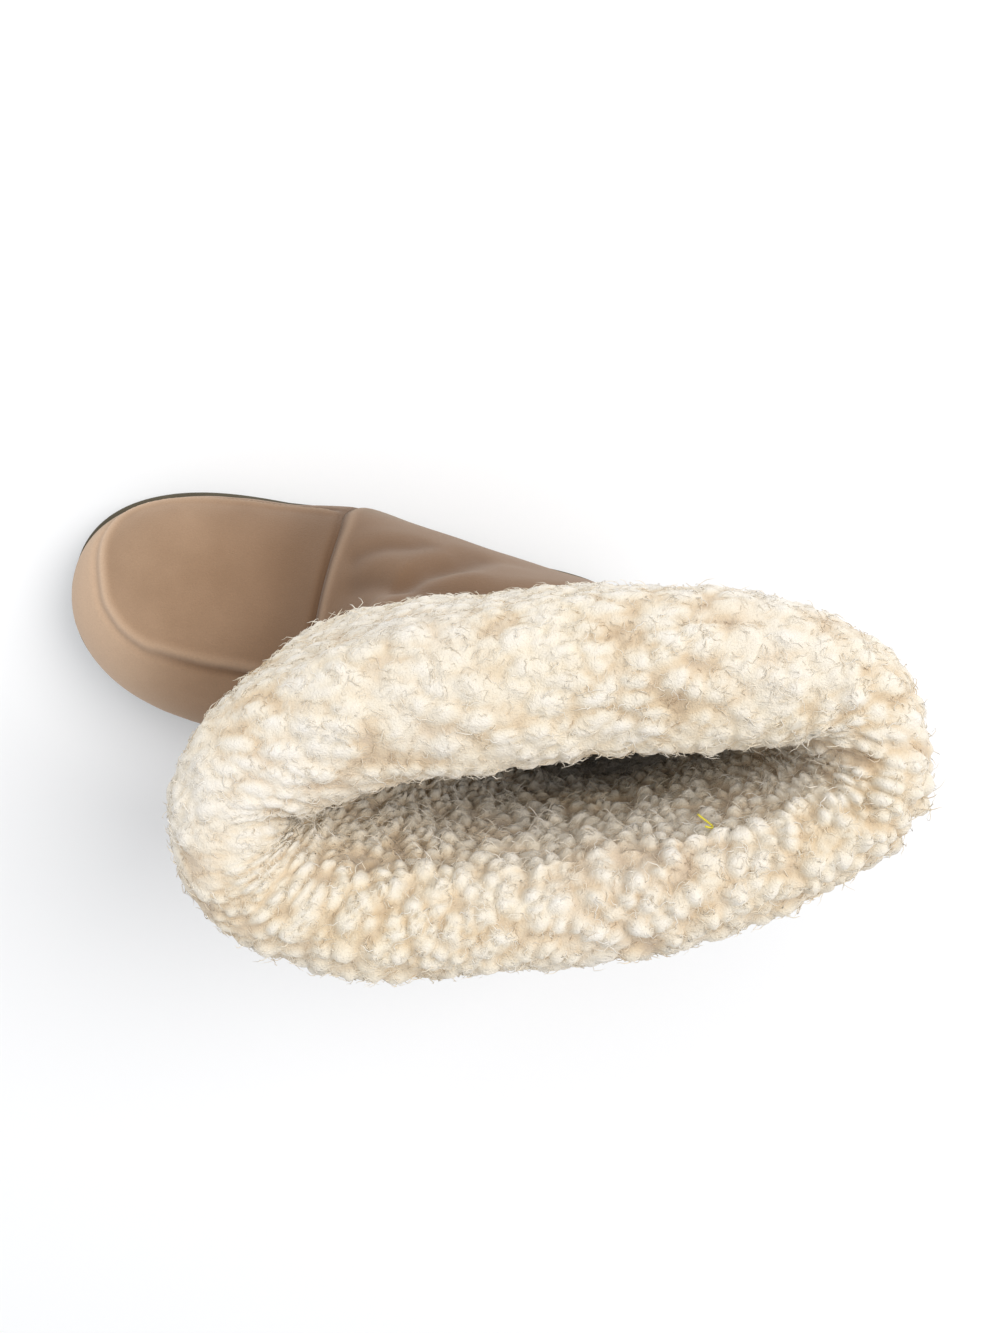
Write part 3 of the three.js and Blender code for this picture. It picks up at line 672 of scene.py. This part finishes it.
APRON_OUT = 1.0
rows_out, rows_in = ((150, 40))
at_seam = (CROSSING, SEAM_TURN)
s_out, turn_out = even_rows((np.full(AROUND, -0.9995), TOE_TURN), at_seam, rows_out)
s_in, turn_in = (grid[::-1] for grid in even_rows((np.full(AROUND, -0.985), TOE_TURN), at_seam, rows_in))
face = eased(outer(s_out, turn_out), 7)
height, rub, shade, dirt = foot_relief(face, np.abs(over_seam(face)))
face = face + outward(s_out, turn_out) * height[..., None]
floor_z = height_on(SOLE_TOP, face[..., 0])
face[..., 2] = np.maximum(face[..., 2], floor_z - 1.5)
inside = skin(s_in, turn_in, np.array(-WALL))
inside[..., 2] = np.maximum(inside[..., 2], height_on(SOLE_TOP, inside[..., 0]) + 3)
blank = np.zeros(inside.shape[:2])
foot = sleeve("foot_suede", np.vstack([face, inside]), [SUEDE, LINING],
              slots=np.repeat([0, 1], [rows_out - 1, rows_in]),
              rub=np.vstack([rub, blank]), shade=np.vstack([shade, blank]), dirt=np.vstack([dirt, blank]))
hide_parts("upper")

# %% [markdown]
# The leg is a tube of suede that has slumped. It goes on from the foot's seam up to the rim, where the cuff
# is folded over it. Inside, it is lined with short fleece up to the cuff's own wool.


# %% Leg
BIG_TOE_SIDE, ROLLED_IN, ROLLED_FRONT, STRETCHED, FACING_OUTER = -1.75, 17.0, 1.0, 5.0, 58.0


def facing_at(turns):
    """How far the cuff's wool reaches down inside: further on the outer side."""
    return FACING + FACING_OUTER * np.maximum(0, np.sin(turns))


def drop_station(turns, drop):
    """The station that many millimetres under the rim's edge."""
    level = outer(float(RIM), turns)[..., 2] - drop
    return last_where(lambda s: outer(s, turns)[..., 2] < level, RIM - 7.0, RIM + 1.0)


LINING_BULGE = 5.0  # the lining has sagged inwards on the outer side
SKIN_DEPTH, CLOSING_DEPTH = 4.6, 6.0  # under the leg's face: deeper than its creases, but outside the lining
rows_leg, rows_lining, rows_skin = ((112, 40, 10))
at_rim = (np.full(AROUND, float(RIM)), RIM_TURN)
s_leg, turn_leg = even_rows(at_seam, at_rim, rows_leg)
s_ledge = np.maximum(drop_station(RIM_TURN, facing_at(RIM_TURN)), CROSSING + 0.1)
share = (s_ledge - CROSSING) / (RIM - CROSSING)
ledge_turn = SEAM_TURN + (RIM_TURN - SEAM_TURN) * share
s_skin = RIM + (s_ledge - RIM) * np.linspace(0, 1, rows_skin)[:, None]
turn_skin = RIM_TURN + (ledge_turn - RIM_TURN) * np.linspace(0, 1, rows_skin)[:, None]
s_lining, turn_lining = (grid[::-1] for grid in even_rows(at_seam, (s_ledge, ledge_turn), rows_lining))
tube = outer(s_leg, turn_leg)
edge = np.abs(over_seam(tube))
lift, shade = pressed(tube)
lift = lift * smoothstep(edge, 0, 9) + 0.6 * noise(tube, 26, 12) * smoothstep(edge, 0, 9)
dip = np.exp(-((edge / 2.2) ** 2))
rolled = np.exp(-(((edge - 4.0) / 2.0) ** 2))
under_rim = outer(float(RIM), RIM_TURN)[..., 2] - tube[..., 2]
lift = lift * smoothstep(under_rim, 35, 60) - 1.2 * dip + 0.5 * rolled
tube = tube + outward(s_leg, turn_leg) * lift[..., None]
# painted shade: the whole leg is darkened, and more in the creases' troughs and the seam's dip
shade = np.clip(0.22 * shade + 0.40 * dip + 0.66, 0, 1)
# paler on the rolled edge beside the seam: part wear, part painted highlight
rub = 0.22 * rolled
# darker olive grey towards the bottom of the leg
dirt = 0.5 * (1 - smoothstep(tube[..., 2] + 3 * noise(tube, 14, 8), 34, 60))
bare = skin(s_skin, turn_skin, np.array(-SKIN_DEPTH))
deep = outer(s_lining, turn_lining)
sagging = LINING_BULGE * np.maximum(0, np.sin(turn_lining)) * smoothstep(deep[..., 2], 30, 55)
curls = 1.4 * noise(deep, 5, 9) + 0.7 * noise(deep, 2.6, 10) - sagging
lining = skin(s_lining, turn_lining, np.array(-WALL)) + outward(s_lining, turn_lining) * curls[..., None]
count = rows_skin + rows_lining
blank = np.zeros((count, AROUND))
leg = sleeve("leg_suede", np.vstack([tube, bare, lining]), [SUEDE, LINING], loop=True,
             slots=np.repeat([0, 1], [rows_leg - 1, count + 1]),
             rub=np.vstack([rub, blank]), shade=np.vstack([shade, blank]), dirt=np.vstack([dirt, blank]))
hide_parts("shaft")

# %% [markdown]
# The cuff is one strip of shearling folded over the rim, wool side out, so it is a soft roll. Particle hair
# would give real fibres, but it isn't a mesh and can't be kept. We carry a rounded profile round the rim,
# and press clumps into it with the cells from above. Wool is thicker where the cuff has rolled inwards, on
# the big-toe side, and it reaches further down on the outer side.


# %% Cuff's profile round the rim
WOOL_AROUND, WOOL_ACROSS, BACK = ((500, 158, 12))


def roll_rings(turns, around):
    """The folded strip's section at each turn: millimetres out from the leg's face, and down from the rim."""
    rolled = np.maximum(0, np.cos(turns - BIG_TOE_SIDE)) ** 0.8
    front, rear = np.maximum(0, np.cos(turns)) ** 2, np.maximum(0, -np.cos(turns)) ** 2
    thick_out = FLEECE_OUT - 2.5 * rolled
    deep_in = -(HIDE + FLEECE_IN + ROLLED_IN * rolled + ROLLED_FRONT * front - STRETCHED * rear)
    flap = FLAP - 5.0 * rolled
    facing = facing_at(turns)
    middle, radius = (thick_out + deep_in) / 2, (thick_out - deep_in) / 2
    rows = [(-1 + 0 * turns, flap - 5), (5 + 0 * turns, flap - 1), (10 + 0 * turns, flap),
            (thick_out - 2.5, flap - 4), (thick_out, flap * 0.8), (thick_out + 1, flap * 0.4)]
    for angle in np.linspace(0, math.pi, 9):
        rows.append((middle + radius * math.cos(angle), 2 - (ROLL_TOP + 2) * math.sin(angle) + 0 * turns))
    rows += [(deep_in - 0.5, facing * 0.5), (deep_in + 1, facing * 0.85), (deep_in + 4, facing - 1),
             (-WALL - 2 + 0 * turns, facing), (-WALL + 2 + 0 * turns, facing - 3)]
    profile = np.array([[np.broadcast_to(v, turns.shape) for v in row] for row in rows])
    padded = np.concatenate([2 * profile[:1] - profile[1:2], profile, 2 * profile[-1:] - profile[-2:-1]])
    at = np.linspace(0, len(rows) - 1 - 1e-9, 600)
    i, t = at.astype(int), (at % 1)[:, None, None]
    a, b, c, d = (padded[i + k] for k in range(4))
    fine = 0.5 * (2 * b + (c - a) * t + (2 * a - 5 * b + 4 * c - d) * t**2 + (3 * b - a - 3 * c + d) * t**3)
    length = np.linalg.norm(np.diff(fine, axis=0), axis=1).cumsum(0)
    length = np.vstack([np.zeros(len(turns)), length]) / length[-1]
    at = np.linspace(0, 1, around)
    out = np.stack([np.interp(at, length[:, k], fine[:, 0, k]) for k in range(len(turns))], 1)
    drop = np.stack([np.interp(at, length[:, k], fine[:, 1, k]) for k in range(len(turns))], 1)
    return out, drop


def rim_turns(count):
    """Turns at even spacing round the rim, so that the wool's grid is square all the way."""
    fine = np.linspace(0, 2 * math.pi, 2001)
    length = run_length(outer(float(RIM), fine))
    return np.interp(np.arange(count) / count, length / length[-1], fine)


def hung(drops, out):
    """Rows that far under the rim and that far out of the leg's face, which follow the bent leg down."""
    turns = np.broadcast_to(wool_turns, drops.shape)
    height = outer(float(RIM), turns)[..., 2] - drops
    station = last_where(lambda s: outer(s, turns)[..., 2] < height, RIM - 8.0, RIM + 1.0)
    return skin(station, turns, out)


wool_turns = rim_turns(WOOL_AROUND)
out, drop = roll_rings(wool_turns, WOOL_ACROSS)
roll = hung(drop, out)
print("cuff grid", roll.shape, "box", roll.min((0, 1)).round(1), roll.max((0, 1)).round(1))


# %% Clumps
def own_measures(rings):
    """Each point's distance round the rim and across the strip in millimetres, and the length of the rim."""
    across = run_length(rings)
    top = rings[len(rings) // 3]
    steps = np.linalg.norm(np.roll(top, -1, 0) - top, axis=-1)
    around = np.append(0, steps.cumsum()[:-1])
    return np.broadcast_to(around, across.shape), across, steps.sum()


def clump_layer(p, around, across, rim, size, warp, seed):
    """Cells of size (along the rim, across it): a dome on each, clefts between, and each clump's own data."""
    count = round(rim / size[0])
    wander = warp * noise3(p, 3.0 * size[1], seed + 20) + 0.35 * warp * noise3(p, 0.9 * size[1], seed + 30)
    along = around * count / rim + wander[..., 0] / size[0]
    flat = np.stack([along, (across + wander[..., 1]) / size[1], 0 * across], -1)
    first, second, toward, owner = cells(flat, seed, count)
    dome = np.clip(1 - (first / 0.85) ** 2, 0, 1)
    return dome, smoothstep(second - first, 0.0, 0.35), toward * np.array([size[0], size[1], 0]), owner


ROLL_CLUMP, CURL, CRIMP = (10.0, 6.0), (6.8, 5.8), (3.0, 2.6)  # millimetres along the rim and across it
ROLL_HIGH, CURL_HIGH, CRIMP_HIGH = 1.8, 3.3, 0.6
around, across, rim = own_measures(roll)
v = np.linspace(0, 1, WOOL_ACROSS)[:, None]
woolly = smoothstep(v, 0.0, 0.05) * (1 - smoothstep(v, 0.96, 1.0))
outer_half = smoothstep(np.sin(wool_turns - 0.15), -0.35, 0.45)
starts = 0.58 - 0.36 * outer_half
curly = smoothstep(v + 0.05 * noise(roll, 16, 3), starts, starts + 0.14) * (0.45 + 0.55 * outer_half)
flat_normals = ring_normals(roll, loop=False)
if (flat_normals[WOOL_ACROSS // 2] * np.array([0, 0, 1.0])).sum() < 0:
    flat_normals = -flat_normals
dome_a, cleft_a, toward_a, owner_a = clump_layer(roll, around, across, rim, ROLL_CLUMP, 3.0, 40)
dome_b, cleft_b, toward_b, owner_b = clump_layer(roll, around, across, rim, CURL, 2.6, 140)
dome_c, *_ = clump_layer(roll, around, across, rim, CRIMP, 0.8, 240)
pick = curly > 0.5
owner, toward = np.where(pick[..., None], owner_b, owner_a), np.where(pick[..., None], toward_b, toward_a)
tuft = 0.7 + 0.6 * hashed(owner, 77)
height = (1 - curly) * ROLL_HIGH * (dome_a * (0.6 + 0.4 * cleft_a) * (0.7 + 0.6 * hashed(owner_a, 77)) - 0.45)
height += curly * CURL_HIGH * (dome_b * (0.5 + 0.5 * cleft_b) * (0.7 + 0.6 * hashed(owner_b, 77)) - 0.45)
height += CRIMP_HIGH * (dome_c - 0.4) + 1.3 * noise(roll, 21, 70) + 0.6 * noise(roll, 8, 71)
dome, cleft = (1 - curly) * dome_a + curly * dome_b, (1 - curly) * cleft_a + curly * cleft_b
golden = smoothstep(noise(roll, 15, 72) + 0.5 * noise(roll, 6, 73), -0.5, 0.7)
# painted shade: darker and more tan in the clefts between clumps, on top of the roots' own tan; lighter on
# the tops of clumps
cleft_shade = 1 - dome * (0.5 + 0.5 * cleft)
pile = 0.80 - (0.16 + 0.26 * golden + 0.14 * curly) * 1.4 * cleft_shade
pile += 0.20 * (dome_c - 0.5) + 0.15 * (dome - 0.4)
pile = np.clip(pile, 0, 1)
wool = roll + flat_normals * ((height - 0.6) * woolly)[..., None]
climb = np.linspace(0, 1, BACK + 2)[1:-1, None]
closing = hung(drop[-1] + (drop[0] - drop[-1]) * climb, np.array(-CLOSING_DEPTH))
tone = np.clip(0.5 + 0.5 * noise(roll, 30, 74) + 0.3 * (hashed(owner, 91) - 0.5), 0, 1)
blank = np.zeros((BACK, WOOL_AROUND))
cuff = sleeve("cuff_wool", np.vstack([wool, closing]), [WOOL], loop=True,
              pile=np.vstack([pile, blank]), tone=np.vstack([tone, blank]))
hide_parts("cuff")

# %% [markdown]
# Up close the clumps are locks of crimped fibre that lean together and curl over at the tip. Single fibres
# would be millions, so each tube here stands for a lock: three-sided, tapering, about a third of a
# millimetre thick. The ones on a clump share the way they twist, so they read as one tuft.


# %% Locks
def tubes(path, radius, sides=3):
    """Points and triangles of many thin tapering tubes: path is (tubes, steps, 3), radius (tubes, steps)."""
    count, steps = path.shape[:2]
    tangent = unit(np.gradient(path, axis=1))
    helper = np.where(np.abs(tangent[..., 2:3]) > 0.9, [1.0, 0, 0], [0, 0, 1.0])
    a = unit(np.cross(tangent, helper))
    b = np.cross(tangent, a)
    angle = 2 * math.pi * np.arange(sides) / sides
    ring = (path[:, :, None] + radius[..., None, None]
            * (a[:, :, None] * np.cos(angle)[:, None] + b[:, :, None] * np.sin(angle)[:, None]))
    points = ring.reshape(count, -1, 3)
    k, j = np.arange(steps - 1)[:, None] * sides, np.arange(sides)[None]
    j2 = (j + 1) % sides
    one = np.concatenate([np.stack([k + j, k + j2, k + sides + j2], -1).reshape(-1, 3),
                          np.stack([k + j, k + sides + j2, k + sides + j], -1).reshape(-1, 3)])
    last = (steps - 1) * sides
    caps = [[0, 2, 1], [last, last + 1, last + 2]]
    one = np.vstack([one, caps])
    faces = one[None] + (np.arange(count) * steps * sides)[:, None, None]
    return points.reshape(-1, 3), faces.reshape(-1, 3)


def plant(rng, count):
    """Random roots on the wool, even per area: grid cells drawn by their area, then a place in each."""
    a = wool[1:, :] - wool[:-1, :]
    b = np.roll(wool, -1, 1)[:-1] - wool[:-1]
    area = np.linalg.norm(np.cross(a, b), axis=-1) * woolly[:-1]
    pick = rng.choice(area.size, count, p=(area / area.sum()).ravel())
    i, j = np.unravel_index(pick, area.shape)
    u, w = rng.random((2, count, 1))
    root = wool[i, j] + a[i, j] * u + b[i, j] * w
    return i, j, root


def make_locks(seed, count, name):
    """Fibres that lie along the wool with their clump's heading, crimped in a wave, lifted at the middle."""
    rng = np.random.default_rng(seed)
    i, j, root = plant(rng, count)
    normal = flat_normals[i, j]
    own = owner[i, j]
    long = LOCK_LONG * (0.6 + 0.8 * rng.random(count))
    e1 = unit(np.roll(wool, -1, 1)[i, j] - wool[i, j])
    e2 = np.cross(normal, e1)
    free = 0.35 + 0.65 * curly[i, j]
    heading = (hashed(own, 101) - 0.5) * 2 * math.pi * free + rng.normal(0, 0.5, count)
    heading = heading + math.pi * (rng.random(count) < 0.5)
    turning = (hashed(own, 102) - 0.5) * 5 + rng.normal(0, 1.2, count)
    t = np.linspace(0, 1, LOCK_STEPS)[None, :, None]
    bend = heading[:, None, None] + turning[:, None, None] * t
    step = e1[:, None] * np.cos(bend) + e2[:, None] * np.sin(bend)
    run = np.cumsum(step, axis=1) - step[:, :1]
    run = run * (long / LOCK_STEPS)[:, None, None]
    waves = t * (9 + 5 * rng.random(count))[:, None, None]
    crimp = LOCK_CRIMP * np.sin(waves + 6 * rng.random((count, 1, 1)))
    sideways = e1[:, None] * -np.sin(bend) + e2[:, None] * np.cos(bend)
    arch = np.sin(math.pi * np.minimum(t * 1.15, 1)) + 0.5 * t
    rise = (LOCK_RISE * (0.4 + 1.0 * rng.random(count)))[:, None, None] * arch
    path = (root - normal * 0.35)[:, None] + run + sideways * crimp + normal[:, None] * rise
    radius = LOCK_THICK * (0.6 + 0.8 * rng.random(count))[:, None] * (1 - 0.75 * t[..., 0] ** 2)
    points, faces = tubes(path, radius)
    # each lock takes the wool's colour at its root, painted shade in the clefts included
    light = np.clip(pile[i, j] + 0.08 + 0.06 * rng.normal(0, 1, count), 0, 1)
    spread = lambda values: np.repeat(values, 3 * LOCK_STEPS)
    piece = make_mesh(name, points, faces, [FIBRE], None, pile=spread(light), tone=spread(tone[i, j]))
    return piece


LOCK_LONG, LOCK_CRIMP, LOCK_THICK, LOCK_RISE, LOCK_STEPS = 5.5, 0.35, 0.15, 0.65, 6
LOCKS_EACH = 5500
for k in range(3):
    make_locks(300 + k, LOCKS_EACH, f"wool_locks_{k + 1}")

# %% [markdown]
# One loose end of yellow thread has caught in the curls of the inner wall, towards the heel. It is a real
# mark of use, so we keep it: a single thin tube bent into a hook that stands just clear of the wool.

# %% Caught thread
THREAD_AT, THREAD_LONG, THREAD_THICK, THREAD_STEPS = (0.50, 2.07), 9.0, 0.42, 14  # place is (across, turn)
row = round(THREAD_AT[0] * (WOOL_ACROSS - 1))
column = int(np.abs(wool_turns - THREAD_AT[1]).argmin())
out_of_wool = flat_normals[row, column]
along_rim = unit(np.roll(wool, -1, 1)[row, column] - wool[row, column])
up_wall = np.cross(out_of_wool, along_rim)
t = np.linspace(0, 1, THREAD_STEPS)[:, None]
hook = 0.28 * THREAD_LONG * np.sin(math.pi * 1.4 * t)
path = wool[row, column] + out_of_wool * 2.4 + up_wall * THREAD_LONG * (t - 0.5) + along_rim * hook
points, faces = tubes(path[None], np.full((1, THREAD_STEPS), THREAD_THICK))
make_mesh("caught_thread", points, faces, [THREAD])

# %% [markdown]
# The sole is one moulding of foam rubber: a thin wall that shows all round under the suede, an arch, a toe
# that lifts, and bent grooves under the heel and ball. It is a sleeve as well, cut across the foot: the rings
# run from toe to heel, and each goes over the top, down the side, across the bottom and up the other side.


# %% Outline of the foot on the sole
def outline(s, out, lift=0.0):
    """The foot's inner and outer side at each station, where the surface meets the sole's top, moved out."""
    def clear_of_sole(p):
        return p[..., 2] - height_on(SOLE_TOP, p[..., 0]) > lift

    sides = []
    for side in (-1, 1):
        def place(turn):
            return skin(s, side * turn, np.array(out))
        turn = last_where(lambda t: clear_of_sole(place(t)), np.full(len(s), math.pi / 2), math.pi)
        sides.append(place(turn))
    return sides


def sole_stations(count):
    """Stations from the toe tip to where the heel leaves the sole, close together at both ends."""
    def in_sole(s):
        p = outer(s, math.pi)
        return p[..., 2] < height_on(SOLE_TOP, p[..., 0])

    heel = last_where(in_sole, SEAT * 1.0, SEAT + 1.0)
    t = np.linspace(0, 1, count)
    toe = -np.sqrt(1 - (t[t < 0.3] / 0.3) ** 2)
    rest = heel * np.sin((t[t >= 0.3] - 0.3) / 0.7 * math.pi / 2)
    return np.clip(np.append(toe, rest), -0.9999, float(heel) - 1e-3)


GROOVES = ((22, 66, 14), (146, 236, 15))  # from, to, pitch
GROOVE_WIDE, GROOVE_BEND, LUG_DEPTH, GROOVE_EASE = 3.2, 7.0, 2.6, 0.4


def tread(x, y):
    """Depth of the grooves: 1 inside a bent band of that width, eased at its walls; the deepest of all."""
    depth = np.zeros_like(x)
    for start, stop, pitch in GROOVES:
        for at in np.arange(start, stop + 0.1, pitch):
            off = x - (at + GROOVE_BEND * (1 - np.abs(y) / 60)) - GROOVE_WIDE / 2
            half = GROOVE_WIDE / 2
            depth = np.maximum(depth, 1 - smoothstep(np.abs(off), half - GROOVE_EASE, half + GROOVE_EASE))
    return depth * LUG_DEPTH


# %% Outsole
ALONG, ACROSS = ((300, 40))
WALL_STEPS = np.array([  # share of the height, millimetres out
    (1.0, -0.9), (0.96, -0.35), (0.9, 0.0), (0.75, 0.05), (0.55, 0.0), (0.4, -0.1), (0.25, -0.35),
    (0.12, -0.9), (0.03, -1.8)])
stations = sole_stations(ALONG)
rings = []
for level, out_by in WALL_STEPS:
    rings.append(outline(stations, SOLE_RIM + out_by))
inner_wall = np.array([r[0] for r in rings])
outer_wall = np.array([r[1] for r in rings])
for wall in (inner_wall, outer_wall):
    base, top = height_on(SOLE_BASE, wall[..., 0]), height_on(SOLE_TOP, wall[..., 0])
    grooved = base + tread(wall[..., 0], wall[..., 1])
    wall[..., 2] = np.maximum(base + (top - base) * WALL_STEPS[:, 0:1], grooved)
across = np.linspace(0, 1, ACROSS + 2)[1:-1, None, None]
bottom = outer_wall[-1] + (inner_wall[-1] - outer_wall[-1]) * across
bottom[..., 2] = height_on(SOLE_BASE, bottom[..., 0]) + tread(bottom[..., 0], bottom[..., 1])
top = inner_wall[0] + (outer_wall[0] - inner_wall[0]) * np.linspace(0, 1, 8)[1:-1, None, None]
top[..., 2] = height_on(SOLE_TOP, top[..., 0])
loops = np.concatenate([outer_wall, bottom, inner_wall[::-1], top]).transpose(1, 0, 2)
# dirt on the sole, lighter towards the floor
dirt = 0.6 * (1 - smoothstep(loops[..., 2] + 2 * noise(loops, 10, 81), 1, 9))
outsole = sleeve("sole", loops, [RUBBER], dirt=dirt)
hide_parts("outsole")

# %% [markdown]
# Inside lies a loose footbed of brushed cloth over foam, coloured nearly black. It shows only as a dark floor
# far down.

# %% Footbed
BED_ROUND = 0.8
bed_s = stations[(stations > -0.985)][::2]
low_side = outline(bed_s, -(WALL + GAP), 0.5)
high_side = outline(bed_s, -(WALL + GAP), INSOLE_THICK)
loop = []
for side, order in ((1, (0, 1)), (0, (1, 0))):
    pair = [low_side[side], high_side[side]]
    for k in order:
        edge_ring = pair[k].copy()
        raised = GAP if k == 0 else GAP + INSOLE_THICK - BED_ROUND
        edge_ring[:, 2] = height_on(SOLE_TOP, edge_ring[:, 0]) + raised
        loop.append(edge_ring)
    if side == 1:
        share = np.linspace(0, 1, 26)[1:-1, None, None]
        span = high_side[1] + (high_side[0] - high_side[1]) * share
        span[..., 2] = height_on(SOLE_TOP, span[..., 0]) + GAP + INSOLE_THICK - BED_ROUND
        span[..., 2] += BED_ROUND * np.sin(math.pi * share[..., 0]) ** 0.4
        loop.extend(span)
bed = sleeve("footbed", np.array(loop).transpose(1, 0, 2), [FOOTBED])
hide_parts("insole")

# %% [markdown]
# The floor is plain and pale, and the light is a wide soft window overhead, a little to the toe side, with
# a bright room round it. The camera stands about half a metre over the boot and looks almost straight down.


# %% Floor, light and camera
def plane(name, size, height):
    mesh = bpy.data.meshes.new(name)
    corners = [(x * size, y * size, height) for x, y in ((-1, -1), (1, -1), (1, 1), (-1, 1))]
    mesh.from_pydata(corners, [], [(0, 1, 2, 3)])
    made = bpy.data.objects.new(name, mesh)
    bpy.context.scene.collection.objects.link(made)
    return made


floor = plane("floor", 3.0, -0.0004)
paper = bpy.data.materials.new("paper")
paper.use_nodes = True
paper.node_tree.nodes["Principled BSDF"].inputs["Base Color"].default_value = (0.93, 0.93, 0.93, 1)
paper.node_tree.nodes["Principled BSDF"].inputs["Roughness"].default_value = 0.9
floor.data.materials.append(paper)


def area_light(name, place, target, size, power, colour):
    light = bpy.data.lights.new(name, "AREA")
    light.shape, light.size, light.energy, light.color = "DISK", size, power, colour
    lamp = bpy.data.objects.new(name, light)
    bpy.context.scene.collection.objects.link(lamp)
    lamp.location = place
    toward_target = (Matrix.Translation(place).to_translation() - Matrix.Translation(target).to_translation())
    lamp.rotation_euler = toward_target.to_track_quat("Z", "Y").to_euler()
    return lamp


area_light("window", (-0.95, -0.70, 1.9), (0, 0, 0.1), 1.3, 24.5, (1.0, 0.99, 0.98))
area_light("sky", (0.8, -0.6, 1.6), (0.05, 0, 0.1), 1.5, 8, (0.94, 0.97, 1.0))
world = bpy.data.worlds.new("room")
world.use_nodes = True
world.node_tree.nodes["Background"].inputs["Color"].default_value = (0.97, 0.98, 1.0, 1)
world.node_tree.nodes["Background"].inputs["Strength"].default_value = 0.64
bpy.context.scene.world = world

camera_data = bpy.data.cameras.new("camera")
camera_data.sensor_width, camera_data.lens = 36.0, 27.0
camera = bpy.data.objects.new("camera", camera_data)
bpy.context.scene.collection.objects.link(camera)
camera.rotation_euler = [math.radians(a) for a in (-6.645, -6.488, -170.423)]
camera.location = (np.array([138.0, -42.0, 490.0]) - ORIGIN) * 0.001
bpy.context.scene.camera = camera
bpy.context.scene.view_settings.view_transform = "Standard"
